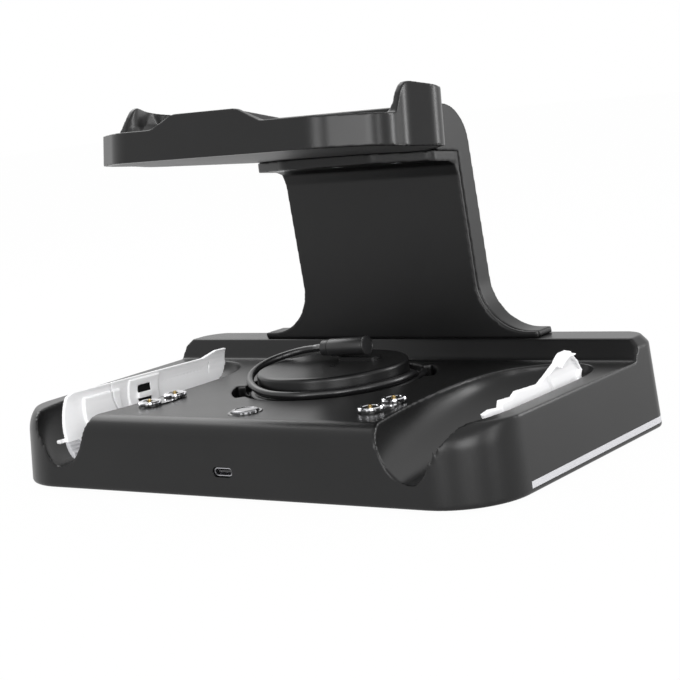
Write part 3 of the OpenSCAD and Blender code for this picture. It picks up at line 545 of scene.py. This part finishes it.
SIDE_BAND, CRADLE_IN, NOTCH_X, NOTCH_Z, CRADLE_LEN = 8.6, 63.6, 88.9, 9.2, 117.5
NOTCH_IN, NOTCH_OUT, CORNER_RUN, END_SET = 15.3, 6.5, 40.0, 16.8
CRADLE_OUT = BASE_W / 2 - DRAFT_IN * DECK_H / BLOCK_H - SIDE_BAND
CRADLE_MID = CRADLE_LEN * 0.6
INNER_POWER, END_IN_POWER, END_OUT_POWER, BOTTOM_POWER, DEPTH_POWER = 1.8, 2.6, 4, 3, 2.2
BOWL_STEPS, BOWL_CROWD, BOWL_END_GAP = 64, 1.5, 0.3
CRADLE_END_X = CRADLE_OUT - END_SET


def bowl_ring(y, n=56, lift=6.0):
    """Section of a cradle at a distance from the front."""
    t = max(0, y)
    if y < CRADLE_MID:
        inner = CRADLE_IN + (NOTCH_X - NOTCH_IN - CRADLE_IN) * (1 - t / CRADLE_MID) ** INNER_POWER
        run = 1 - max(0, 1 - t / CORNER_RUN) ** 2
        outer = NOTCH_X + NOTCH_OUT + (CRADLE_OUT - NOTCH_X - NOTCH_OUT) * math.sqrt(run)
    else:
        past = (y - CRADLE_MID) / (CRADLE_LEN - CRADLE_MID)
        inner = CRADLE_END_X - (CRADLE_END_X - CRADLE_IN) * math.sqrt(max(0, 1 - past ** END_IN_POWER))
        outer = CRADLE_END_X + (CRADLE_OUT - CRADLE_END_X) * math.sqrt(max(0, 1 - past ** END_OUT_POWER))
    bottom = NOTCH_X + (CRADLE_END_X - NOTCH_X) * (t / CRADLE_LEN) ** BOTTOM_POWER
    depth = (DECK_H - NOTCH_Z) * math.sqrt(max(0, 1 - (t / CRADLE_LEN) ** DEPTH_POWER))
    ring = [(inner, y, DECK_H + lift), (outer, y, DECK_H + lift)]
    for i in range(n, -1, -1):
        c, s = math.cos(math.pi * i / n), math.sin(math.pi * i / n)
        ring.append((bottom - c * (bottom - inner if c > 0 else outer - bottom), y, DECK_H - depth * s))
    return ring


def cradle_bowl(side):
    end, n = CRADLE_LEN - BOWL_END_GAP, BOWL_STEPS
    rings = [bowl_ring(-FRONT_R / 2)]
    rings += [bowl_ring(end * (1 - (1 - i / n) ** BOWL_CROWD)) for i in range(n + 1)]
    return loft("bowl", [[(side * x, y, z) for x, y, z in ring] for ring in rings])


def wall_band(outer, inner, z, h, y_from):
    """Ring low on the base's wall, from a distance behind the front."""
    band = loft("band", [base_outline(z, outer), base_outline(z + h, outer)])
    core = loft("core", [base_outline(z - 1, inner), base_outline(z + h + 1, inner)])
    front = prism("front", [(-150, -20), (150, -20), (150, y_from), (-150, y_from)], "z", -5, 60)
    return cut(band, core, front)


def at_hub(x, y, z):
    return place(x, y + HUB_Y, z)


SCOOP_OUT, SCOOP_DEPTH = 4.0, 8.0
SCOOPS = ((-160.0, 36.0), (16.0, 36.0))


def scoop(start, sweep, n=24):
    r0, r1 = HUB_R + 1.2, TROUGH_R + SCOOP_OUT
    angles = [math.radians(start + sweep * i / n) for i in range(n + 1)]
    outline = [(r1 * math.cos(a), r1 * math.sin(a)) for a in angles]
    outline += [(r0 * math.cos(a), r0 * math.sin(a)) for a in reversed(angles)]
    return prism("scoop", outline, "z", DECK_H - SCOOP_DEPTH, DECK_H + 1, at_hub)


def disc(name, r, low, high, to_row, n=144):
    ring = [(r * math.cos(2 * math.pi * i / n), r * math.sin(2 * math.pi * i / n)) for i in range(n)]
    return prism(name, ring, "z", low, high, to_row)


def slot_outline(w, h, z, n=12):
    r = h / 2
    return [
        (side * (w / 2 - r) + r * math.cos(a), z + r * math.sin(a))
        for side, first in ((1, -math.pi / 2), (-1, math.pi / 2))
        for a in [first + math.pi * i / n for i in range(n + 1)]
    ]


SOCKET_Z, SOCKET_W, SOCKET_H, SOCKET_GAP, SOCKET_DEPTH = 10.5, 8.94, 3.26, 0.45, 9.0
BUTTON_Y, BUTTON_DIA, BUTTON_WELL = 19.0, 11.0, 6.0
STRIP_Z, STRIP_H, STRIP_Y, STRIP_T, STRIP_GAP = 2.1, 2.6, 29.8, 1.3, 0.05
COVER_GAP, RECESS_H = 0.1, BOTTOM_T + 0.4


def at_button(x, y, z):
    return place(x, y + BUTTON_Y, z + DECK_H)


def add_base():
    shell = join(base_body(), base_block())
    cut(shell, cradle_bowl(1), cradle_bowl(-1))
    cut(shell, disc("trough", TROUGH_R, TROUGH_Z, DECK_H + 1, at_hub))
    cut(shell, *(scoop(*s) for s in SCOOPS))
    soften(shell, *SHELL_GRID)
    gap = STRIP_GAP
    cut(shell, wall_band(-1, STRIP_T, STRIP_Z - gap, STRIP_H + 2 * gap, STRIP_Y - 2 * gap))
    socket_hole = slot_outline(SOCKET_W + 2 * SOCKET_GAP, SOCKET_H + 2 * SOCKET_GAP, SOCKET_Z)
    cut(
        shell,
        prism("slot", socket_hole, "y", -2, SOCKET_DEPTH),
        disc("hole", BUTTON_DIA / 2 + RUN_GAP, -BUTTON_WELL, 2, at_button),
    )
    inset = WALL + COVER_GAP
    recess = loft("recess", [base_outline(-2, inset), base_outline(RECESS_H, inset)])
    cut(shell, recess)
    shell.name = "base_housing"
    return finish_piece(shell, SATIN, "satin_shell", "base_shell", angle=40)


add_base()


# Winder disc


WINDER_EDGE, WINDER_SKIN, DISH_IN, DISH_OUT = 1.6, 2.6, 9.0, 3.0
BOSS_R, BORE_R, REST_H = 4.0, 1.25, 0.85


def add_winder():
    top, edge = HUB_RISE + TROUGH_DEPTH, WINDER_EDGE
    profile = [(1.2, top - WINDER_SKIN), (1.2, top - 0.9), (8, top - 0.85)]
    profile += [(HUB_R - DISH_IN, top - 0.55), (HUB_R - 4.5, top - 0.12), (HUB_R - DISH_OUT, top)]
    profile += [
        (HUB_R - edge * (1 - math.cos(a)), top - edge * (1 - math.sin(a)))
        for a in [math.pi / 2 * (1 - i / 8) for i in range(9)]
    ]
    profile += [(HUB_R, 0), (HUB_R - 2, 0), (HUB_R - 2, top - WINDER_SKIN)]
    winder = lathe("winder_disc", profile, lambda x, y, z: at_hub(x, y, z + TROUGH_Z), 192)
    rest = prism(
        "plug_rest", rounded([(-4, -3.5), (15, -3.5), (15, 3.5), (-4, 3.5)], [1.5] * 4, 6), "z",
        DECK_H + HUB_RISE - 1.5, DECK_H + HUB_RISE + REST_H,
        lambda x, y, z: place(x, y + PLUG_SPOT[1], z),
    )
    join(winder, rest)
    boss = disc("boss", BOSS_R, TROUGH_Z, DECK_H + HUB_RISE - 2, at_hub, 48)
    join(winder, boss)
    bore = disc("bore", BORE_R, TROUGH_Z - 1, DECK_H + HUB_RISE - 3, at_hub, 48)
    cut(winder, bore)
    finish_piece(winder, SATIN, "satin_shell", "cable_hub")


add_winder()


# Contacts, button and their rims

RING_DIA, RING_RISE, RING_PITCH, CONTACT_X, CONTACT_Y, RING_H = 9.8, 2.1, 16.2, 56.3, 25.6, 0.9
NOTCHES = 6


def contact_ring(side, row):
    """Plated ring with a bevelled top and shallow notches round its skirt."""
    r = RING_DIA / 2
    z1, z0 = RING_RISE, RING_RISE - RING_H

    def to_row(x, y, z):
        return place(x + side * CONTACT_X, y + CONTACT_Y + row * RING_PITCH, z + DECK_H)

    def notch(turn):
        return 1.0 if (turn * NOTCHES) % 1 < 0.3 else 0.0

    profile = [
        (r - 2, z0), (r - 2, z1 - 0.25), (r - 1.75, z1), (r - 0.45, z1, 0.3), (r, z1 - 0.35, 0.55),
        (r, z0, 0.55),
    ]
    names = {-1: "left", 1: "right"}[side], ("front", "rear")[row]
    ring = lathe("charging_ring_%s_%s" % names, profile, to_row, 180, notch)
    return finish_piece(ring, CHROME, "ring_chrome", "contact_ring_%s_%s" % names, angle=30)


for side in (-1, 1):
    for row in (0, 1):
        contact_ring(side, row)


def add_button():
    r = BUTTON_DIA / 2
    cap = lathe(
        "button_cap",
        [(0, -4.6), (1.6, -4.6), (1.6, -3.2), (r + 1, -3.2), (r + 1, -2.4), (r, -2.4),
         (r, 0.85), (r - 0.25, 1.2), (r - 0.7, 1.4), (r - 1.5, 1.4), (r - 1.7, 1.22), (0, 1.15)],
        at_button,
    )
    finish_piece(cap, BUTTON, "button_chrome", "power_button", body="power_button", angle=25)
    inner = r + RUN_GAP + 0.3
    rim = lathe(
        "button_rim",
        [(inner, 0.0), (inner, 0.3), (inner + 0.15, 0.4), (inner + 0.9, 0.4), (inner + 1.2, 0.15),
         (inner + 1.2, 0.0)],
        at_button,
    )
    finish_piece(rim, GLOSS, "gloss_black", "button_bezel", angle=25)


add_button()


# Arm

ARM_HALF, ARM_FOOT_HALF, FLARE_R, ARM_FOOT_T, ARM_TOP = 45.7, 72.3, 22.0, 2.8, 140.8
ARM_Y, ARM_DEPTH, ARM_LEAN, ARM_TAPER, BEND_R, PANEL_T = 127.6, 13.4, 0.088, 0.012, 20.0, 2.2
TRAY_Y, TRAY_Z, TRAY_TILT, TRAY_D = 17.4, 132.2, 6.6, 88.9
RIM_HORN, TRAY_DRAFT, TRAY_REAR_RISE = 24.4, 0.014, 18.6
TRAY_TAPER = TRAY_DRAFT * TRAY_D / 2 / (RIM_HORN + 1)
TONGUE_T, TONGUE_Y, TONGUE_END_Y = 4.4, 91.0, 102.5
TRAY_REAR = (
    TRAY_Y + TRAY_D * math.cos(math.radians(TRAY_TILT))
    + TRAY_REAR_RISE * (math.sin(math.radians(TRAY_TILT)) - TRAY_TAPER)
)
SEAM, NECK_GUESS_Z, REAR_GAP = 0.25, 120.0, 0.15
FOOT_EDGE_R, TOP_LIP_R, TONGUE_OVER, TONGUE_SIDE_R, TONGUE_FRONT_R = 0.6, 0.8, 0.4, 5.0, 12.0


def front_line(z):
    return ARM_Y - ARM_LEAN * (z - BLOCK_H)


def back_line(z):
    return ARM_Y + ARM_DEPTH - (ARM_LEAN + ARM_TAPER) * (z - BLOCK_H)


def under_tray(y):
    return TRAY_Z - (y - TRAY_Y) * math.tan(math.radians(TRAY_TILT))


NECK_Z = under_tray(front_line(NECK_GUESS_Z)) - TONGUE_T
NECK_Y = front_line(NECK_Z)


def arm_front_view(name, y0, y1):
    h, foot, top = ARM_HALF, ARM_FOOT_HALF, BLOCK_H + ARM_FOOT_T
    outline = rounded(
        [(-foot, BLOCK_H), (foot, BLOCK_H), (foot, top), (h, top), (h, ARM_TOP + 1),
         (-h, ARM_TOP + 1), (-h, top), (-foot, top)],
        [0, 0, FOOT_EDGE_R, FLARE_R, 0, 0, FLARE_R, FOOT_EDGE_R], 24,
    )
    return prism(name, outline, "y", y0, y1)


def add_arm():
    face = PANEL_T + SEAM
    top_front = TRAY_REAR + REAR_GAP
    side = rounded(
        [(front_line(BLOCK_H) + face, BLOCK_H), (back_line(BLOCK_H), BLOCK_H),
         (back_line(ARM_TOP), ARM_TOP), (top_front, ARM_TOP), (top_front, under_tray(top_front)),
         (NECK_Y + face, under_tray(NECK_Y + face))],
        [0, 0, BEND_R, TOP_LIP_R, 0, 0], 24,
    )
    rear = prism("arm_back", side, "x", -ARM_FOOT_HALF - 1, ARM_FOOT_HALF + 1)
    common(rear, arm_front_view("outline", TRAY_Y, BASE_D))
    soften(rear, *ARM_GRID)
    finish_piece(rear, ARM_SATIN, "satin_shell", "arm_rear_shell", angle=60)

    sheet = [
        (front_line(BLOCK_H), BLOCK_H), (front_line(BLOCK_H) + PANEL_T, BLOCK_H),
        (NECK_Y + PANEL_T, NECK_Z), (NECK_Y + PANEL_T, under_tray(NECK_Y + PANEL_T)),
        (NECK_Y - 6, under_tray(NECK_Y - 6)), (NECK_Y - 6, NECK_Z + 0.8), (NECK_Y - 1.5, NECK_Z - 1),
        (front_line(NECK_Z - 6), NECK_Z - 6),
    ]
    panel = prism("arm_face", sheet, "x", -ARM_FOOT_HALF - 1, ARM_FOOT_HALF + 1)
    common(panel, arm_front_view("outline", TRAY_Y, BASE_D))
    h = ARM_HALF + TONGUE_OVER
    tongue = prism(
        "tongue",
        rounded(
            [(-h, NECK_Y), (-h, TONGUE_END_Y), (-h / 2, TONGUE_Y), (h / 2, TONGUE_Y),
             (h, TONGUE_END_Y), (h, NECK_Y)],
            [0, TONGUE_SIDE_R, TONGUE_FRONT_R, TONGUE_FRONT_R, TONGUE_SIDE_R, 0],
        ),
        "z", 100, 140,
    )
    slab = prism(
        "slab",
        [(NECK_Y, under_tray(NECK_Y)), (TONGUE_Y - 1, under_tray(TONGUE_Y - 1)),
         (TONGUE_Y - 1, under_tray(TONGUE_Y - 1) - TONGUE_T), (NECK_Y, NECK_Z)],
        "x", -h - 1, h + 1,
    )
    join(panel, common(tongue, slab))
    soften(panel, *PANEL_GRID)
    finish_piece(panel, ARM_SATIN, "satin_shell", "arm_front_panel", angle=60)


add_arm()


# Headset tray

TRAY_HALF, TRAY_FRONT_HALF, TRAY_BACK_HALF = 77.3, 50.3, 41.0
TRAY_CORNER, TRAY_WAIST, TRAY_WIDE_Y = (3.8, 15.6), (7.1, 32.0), 49.8
RIM_LOW, RIM_HUMP, RIM_T = 12.4, 17.8, 2.4
TRAY_FLOOR, TRAY_LIP, TRAY_COVER_T = 5.0, 3.2, 2.0
HUMP_X, HUMP_TOP, HUMP_FOOT = -3.5, 16.0, 27.5
HORN_FOOT_Y, HORN_RISE_Y, HORN_TOP_Y = 24.8, 29.3, 32.8
RAMP_LEN, RAMP_KNEE, SLOPE_FOOT, SLOPE_KNEE = 60.0, (26.0, 14.4), (15.7, 7.7), (6.2, 17.7)
TRAY_FRONT_R, TRAY_CORNER_R, TRAY_WAIST_R, TRAY_REAR_R = 20, 13, 12, 6
HUMP_BEND_R, HORN_PEAK_R = 8, 6


def at_tray(x, y, z):
    a = math.radians(TRAY_TILT)
    return place(
        x, TRAY_Y + y * math.cos(a) + z * math.sin(a), TRAY_Z + z * math.cos(a) - y * math.sin(a)
    )


def tray_outline(z, inset=0.0, draft=0.0, n=20):
    i = inset
    right = [
        (TRAY_HALF - TRAY_CORNER[0] - i, TRAY_CORNER[1] + i / 3),
        (TRAY_HALF - TRAY_WAIST[0] - i, TRAY_WAIST[1]),
        (TRAY_HALF - i, TRAY_WIDE_Y),
        (TRAY_BACK_HALF - i / 2, TRAY_D - i),
    ]
    front = [(-TRAY_FRONT_HALF + i / 2, i), (TRAY_FRONT_HALF - i / 2, i)]
    corners = front + right + [(-x, y) for x, y in reversed(right)]
    half_radii = [TRAY_CORNER_R, TRAY_WAIST_R, TRAY_WAIST_R, TRAY_REAR_R]
    points = rounded(corners, [TRAY_FRONT_R, TRAY_FRONT_R] + half_radii + half_radii[::-1], n)
    k = 1 - draft
    return [(p.x * k, TRAY_D / 2 + (p.y - TRAY_D / 2) * k, z) for p in points]


def rim_cut():
    """What is cut from the block above the rim, its hump and its horns."""
    side, high = TRAY_HALF + 2, RIM_HORN + 8
    hump = rounded(
        [(side, high), (-side, high), (-side, RIM_LOW), (HUMP_X - HUMP_FOOT, RIM_LOW),
         (HUMP_X - HUMP_TOP, RIM_HUMP), (HUMP_X + HUMP_TOP, RIM_HUMP),
         (HUMP_X + HUMP_FOOT, RIM_LOW), (side, RIM_LOW)],
        [0, 0, 0] + [HUMP_BEND_R] * 4 + [0],
    )
    horns = rounded(
        [(-3, RIM_LOW), (HORN_FOOT_Y, RIM_LOW), (HORN_RISE_Y, RIM_HORN - 4),
         (HORN_TOP_Y, RIM_HORN + 0.6), (TRAY_D + 3, RIM_LOW + 5.6), (TRAY_D + 3, RIM_HORN + 7),
         (-3, RIM_HORN + 7)],
        [0, 2.4, 5, HORN_PEAK_R, 0, 0, 0],
    )
    above = prism("above_hump", hump, "y", -2, TRAY_D + 2, at_tray)
    return common(above, prism("above_horns", horns, "x", -TRAY_HALF - 1, TRAY_HALF + 1, at_tray))


def hump_ramp():
    across = [(-HUMP_FOOT - 3, 0), (HUMP_FOOT + 3, 0), (HUMP_TOP, RIM_HUMP), (-HUMP_TOP, RIM_HUMP)]
    along = [(0, 0), (RAMP_LEN, 0), (RAMP_LEN, TRAY_FLOOR - 1), RAMP_KNEE, (0, RIM_HUMP - 0.3)]
    ramp = prism("ramp", [(x + HUMP_X, z) for x, z in across], "y", 0, RAMP_LEN, at_tray)
    return common(ramp, prism("ramp_side", rounded(along, [0, 0, 0, 12, 0]), "x", -40, 40, at_tray))


def horn_slope(side):
    foot, knee = TRAY_HALF - SLOPE_FOOT[0], TRAY_HALF - SLOPE_KNEE[0]
    outline = rounded(
        [(TRAY_HALF + 2, 0), (foot - 12, 0), (foot, SLOPE_FOOT[1]), (knee, SLOPE_KNEE[1]),
         (TRAY_HALF - 2 * RIM_T, RIM_HORN + 2), (TRAY_HALF + 2, RIM_HORN + 2)],
        [0, 0, 6, 3, 0, 0],
    )
    return prism("slope", [(side * x, z) for x, z in outline], "y", HORN_FOOT_Y - 4, TRAY_D, at_tray)


def add_tray():
    tray = loft(
        "tray_top", [tray_outline(0), tray_outline(RIM_HORN + 1, 0, TRAY_DRAFT)], at_tray
    )
    cut(tray, rim_cut())
    levels = [(TRAY_FLOOR, RIM_T + 12), (RIM_LOW - 1, RIM_T + 3), (RIM_LOW + 4, RIM_T + 1.2)]
    dish = loft(
        "dish",
        [tray_outline(*level) for level in levels]
        + [tray_outline(RIM_HORN + 2, RIM_T, TRAY_DRAFT)],
        at_tray,
    )
    cut(tray, cut(dish, hump_ramp(), horn_slope(1), horn_slope(-1)))
    soften(tray, *TRAY_GRID)
    pocket = loft(
        "pocket", [tray_outline(-2, TRAY_LIP), tray_outline(TRAY_COVER_T + 0.3, TRAY_LIP)], at_tray
    )
    cut(tray, pocket)
    finish_piece(tray, SATIN, "satin_shell", "headset_tray", angle=60)


add_tray()


# Battery covers, each in its own frame: height above its middle line, distance from
# the front of the base, and depth, its hollow side up

COVER_HALF, COVER_SAG, COVER_T, PAD_T, COVER_LEN = 12.0, 4.5, 1.6, 1.2, 110.0
COVER_R = (COVER_HALF ** 2 + COVER_SAG ** 2) / (2 * COVER_SAG)
LEFT_SET, RIGHT_SET, LEFT_YAW, RIGHT_LEAN = (17.4, 28.0), (2.4, 32.2), 8.5, 8.0
WINDOW_W, WINDOW_LEN, WINDOW_Y = 9.0, 7.0, 54.0
LEFT_OUTLINE = [
    (-17, 8), (-10, 11), (-2, 13), (7.5, 15), (9, 18), (9, 92), (11.4, 99), (11.4, 105), (4, 107),
    (-0.5, 105.5), (-4.5, 100), (-6.5, 92), (-9, 60), (-12, 34), (-15, 18), (-18, 9),
]
RIGHT_OUTLINE = [
    (-2.4, 26), (-1.8, 31), (-2.5, 37.6), (0, 38.4), (-0.6, 47.8), (1, 50), (0, 67.4), (2.6, 73),
    (6, 77.7), (10.6, 77.9), (10.7, 83), (8.5, 87.5), (3.8, 96), (-1, 100.8), (-7, 98), (-9.5, 80),
    (-10.5, 60), (-9.5, 38), (-6, 28),
]


def at_left_cover(x, y, z):
    a = math.radians(-LEFT_YAW)
    across = z * math.cos(a) - y * math.sin(a)
    back = z * math.sin(a) + y * math.cos(a)
    return place(across - CRADLE_OUT + LEFT_SET[0], back, x + LEFT_SET[1])


def at_right_cover(x, y, z):
    a = math.radians(90 + RIGHT_LEAN)
    across = z * math.sin(a) - x * math.cos(a)
    return place(across + CRADLE_OUT - RIGHT_SET[0], y, x * math.sin(a) + z * math.cos(a) + RIGHT_SET[1])


def cover_band(outline, low, high, to_row, n=24):
    """Part of the covers' curved wall between two depths, within an outline."""
    arcs = []
    for depth, order in ((low, 1), (high, -1)):
        r = COVER_R - depth
        xs = [-1.6 * COVER_HALF * math.cos(math.pi * i / n) for i in range(n + 1)]
        xs = [x for x in xs if abs(x) < r * 0.98][::order]
        arcs += [(x, COVER_R - COVER_SAG - math.sqrt(r * r - x * x)) for x in xs]
    band = prism("band", arcs, "y", 0, COVER_LEN, to_row)
    return common(band, prism("edge", outline, "z", -COVER_SAG - 1, 9, to_row))


def rectangle(x0, x1, y0, y1):
    return [(x0, y0), (x1, y0), (x1, y1), (x0, y1)]


def box(name, x0, x1, y0, y1, z0, z1, to_row):
    return prism(name, rectangle(x0, x1, y0, y1), "z", z0, z1, to_row)


INNER = COVER_T - COVER_SAG
PAD, WINDOW_PAD, WINDOW_RIM, LINE_W = (-6, 5, 24, 44), (49, 66), 3.0, 0.6
SEAM_LINE = [(12, 38), (2, 39.4), (-12, 44), (-12, 44.7), (2, 40.1), (12, 38.7)]
LINES_X, LINES_Y, END_LINE = (-4.2, 3.4), (66.5, 92), (1, 8.4, 96, 96.6)
TIP_X, TIP_Y, RIBS, RIB_PITCH, RIB_W = -11.0, 17.0, 5, 1.3, 0.5
TAB_Y, TAB_H = (8.2, 13.5), (-0.2, 1.2)


def left_cover_tip(spot):
    """Ribbed, half clear front end of the left cover."""
    tip = cover_band(LEFT_OUTLINE, 0, COVER_T, spot)
    cut(tip, box("upper", TIP_X, 20, 0, COVER_LEN, -9, 12, spot))
    for i in range(RIBS):
        x = TIP_X - 1.2 - RIB_PITCH * i
        rib = rectangle(x, x + RIB_W, 7, 20)
        join(tip, cover_band(rib, COVER_T - 0.2, COVER_T + 0.35, spot))
    common(tip, prism("edge", LEFT_OUTLINE, "z", -COVER_SAG - 1, 9, spot))
    return cut(tip, box("behind", -30, TIP_X + 1, TIP_Y, COVER_LEN, -9, 12, spot))


def add_left_cover():
    spot = at_left_cover
    cover = cover_band(LEFT_OUTLINE, 0, COVER_T, spot)
    join(cover, cover_band(rectangle(*PAD), COVER_T - 0.4, COVER_T + PAD_T, spot))
    half = WINDOW_W / 2 + WINDOW_RIM
    pad = rectangle(-half, half, *WINDOW_PAD)
    join(cover, cover_band(pad, COVER_T - 0.4, COVER_T + 0.7, spot))
    cut(cover, prism("seam", SEAM_LINE, "z", INNER - 0.3, 3, spot))
    for x in LINES_X:
        cut(cover, box("line", x, x + LINE_W, *LINES_Y, INNER - 0.25, 2, spot))
    cut(cover, box("line", *END_LINE, INNER - 0.25, 3, spot))
    window_end = WINDOW_Y + WINDOW_LEN
    window = (-WINDOW_W / 2, WINDOW_W / 2, WINDOW_Y, window_end)
    cut(cover, box("window", *window, INNER - 0.5, 2, spot))
    join(cover, box("bar", -1.3, 1.3, WINDOW_Y - 0.5, window_end + 0.5, -1.7, -0.9, spot))
    tip = left_cover_tip(spot)
    cut(cover, box("lower", -30, TIP_X, 0, TIP_Y, -9, 12, spot))
    tab = (TIP_X + TAB_H[0], TIP_X + TAB_H[1], *TAB_Y)
    join(cover, box("tab", *tab, 0.8 - COVER_SAG, -1.2, spot))
    soften(cover, *COVER_GRID)
    soften(tip, *TIP_GRID)
    cover.name, tip.name = "left_cover_shell", "left_cover_tip"
    finish_piece(cover, WHITE, "cover_white", "left_battery_cover", angle=50)
    finish_piece(tip, SMOKED, "cover_white", angle=50)


LIP_FROM_Y, LIP_T, LIP_MID, LIP_SHARE = 72.0, 0.9, (1.5, 86.0), (0.8, 0.86)
LUG, LUG_T, RIGHT_PAD, RIGHT_PAD_T = (4.6, 10.2, 78.4, 83), 3.0, (-8, -0.9, 39, 47), 0.6


def add_right_cover():
    spot = at_right_cover
    cover = cover_band(RIGHT_OUTLINE, 0, COVER_T, spot)
    end = [(x, y) for x, y in RIGHT_OUTLINE if y > LIP_FROM_Y]
    lip = cover_band(end, COVER_T - 0.4, COVER_T + LIP_T, spot)
    mx, my = LIP_MID
    hollow = [(mx + (x - mx) * LIP_SHARE[0], my + (y - my) * LIP_SHARE[1]) for x, y in end]
    cut(lip, prism("hollow", hollow, "z", -9, 9, spot))
    join(cover, lip)
    for area, thick in ((LUG, LUG_T), (RIGHT_PAD, RIGHT_PAD_T)):
        join(cover, cover_band(rectangle(*area), COVER_T - 0.4, COVER_T + thick, spot))
    soften(cover, *COVER_GRID)
    cover.name = "right_cover_shell"
    finish_piece(cover, WHITE, "cover_white", "right_battery_cover", angle=50)


add_left_cover()
add_right_cover()


# Floor, light and finish

FLOOR_HALF, FLOOR_TONE, FLOOR_SHARE, WORLD_FILL = 3.0, 0.8, 0.98, 0.8


def add_stage():
    size = FLOOR_HALF
    floor = add_mesh(
        "floor", [(-size, -size, 0), (size, -size, 0), (size, size, 0), (-size, size, 0)], [(0, 1, 2, 3)]
    )
    material = bpy.data.materials.new("white_floor")
    material.use_nodes = True
    tree = material.node_tree
    g = Nodes(tree)
    tree.nodes.clear()
    path = g.add("ShaderNodeLightPath")
    seen = g.calculate("MAXIMUM", path.outputs["Is Camera Ray"], path.outputs["Is Glossy Ray"])
    share = g.calculate("MULTIPLY", seen, FLOOR_SHARE)
    paper = g.add("ShaderNodeBsdfDiffuse", color=(FLOOR_TONE, FLOOR_TONE, FLOOR_TONE, 1))
    glow = g.add("ShaderNodeEmission", color=(1, 1, 1, 1), strength=1.0)
    out = g.add("ShaderNodeOutputMaterial")
    g.feed(out.inputs["Surface"], g.mix(share, paper, glow))
    floor.data.materials.append(material)


def add_world():
    world = bpy.data.worlds.new("studio")
    world.use_nodes = True
    tree = world.node_tree
    tree.nodes.clear()
    g = Nodes(tree)
    path = g.add("ShaderNodeLightPath")
    first = g.calculate("MAXIMUM", path.outputs["Is Camera Ray"], path.outputs["Is Glossy Ray"])
    seen = g.calculate("MAXIMUM", first, path.outputs["Is Transmission Ray"])
    dim = g.add("ShaderNodeBackground", color=(1, 1, 1, 1), strength=WORLD_FILL)
    white = g.add("ShaderNodeBackground", color=(1, 1, 1, 1), strength=1.0)
    out = g.add("ShaderNodeOutputWorld")
    g.feed(out.inputs["Surface"], g.mix(seen, dim, white))
    bpy.context.scene.world = world


def add_lamp(name, spot, target, size, energy):
    data = bpy.data.lights.new(name, "AREA")
    data.shape = "RECTANGLE"
    data.size, data.size_y = size
    data.energy = energy
    lamp = bpy.data.objects.new(name, data)
    lamp.location = spot
    lamp.rotation_euler = (Vector(target) - Vector(spot)).to_track_quat("-Z", "Y").to_euler()
    bpy.context.scene.collection.objects.link(lamp)


# Spot and target in the row frame, width and height in metres, power in watts
LAMPS = {
    "right_strip": ((1.0, -0.2, 0.2), (0, 0, 0.1), (0.16, 0.8), 2.5),
    "front_strip": ((0.1, -1.1, 0.3), (0, 0, 0.1), (0.3, 0.7), 4.0),
    "front_key": ((0.75, -0.8, 0.3), (-0.05, 0, 0.03), (0.5, 0.5), 6.0),
    "back_right": ((0.75, 0.75, 0.25), (0, 0, 0.1), (0.16, 0.7), 4.5),
    "top_left": ((-0.7, 0.3, 0.8), (0, 0, 0.05), (0.7, 0.7), 4.0),
}

add_stage()
add_world()
for lamp_name, lamp in LAMPS.items():
    add_lamp(lamp_name, *lamp)

bpy.context.scene.view_settings.view_transform = "Standard"
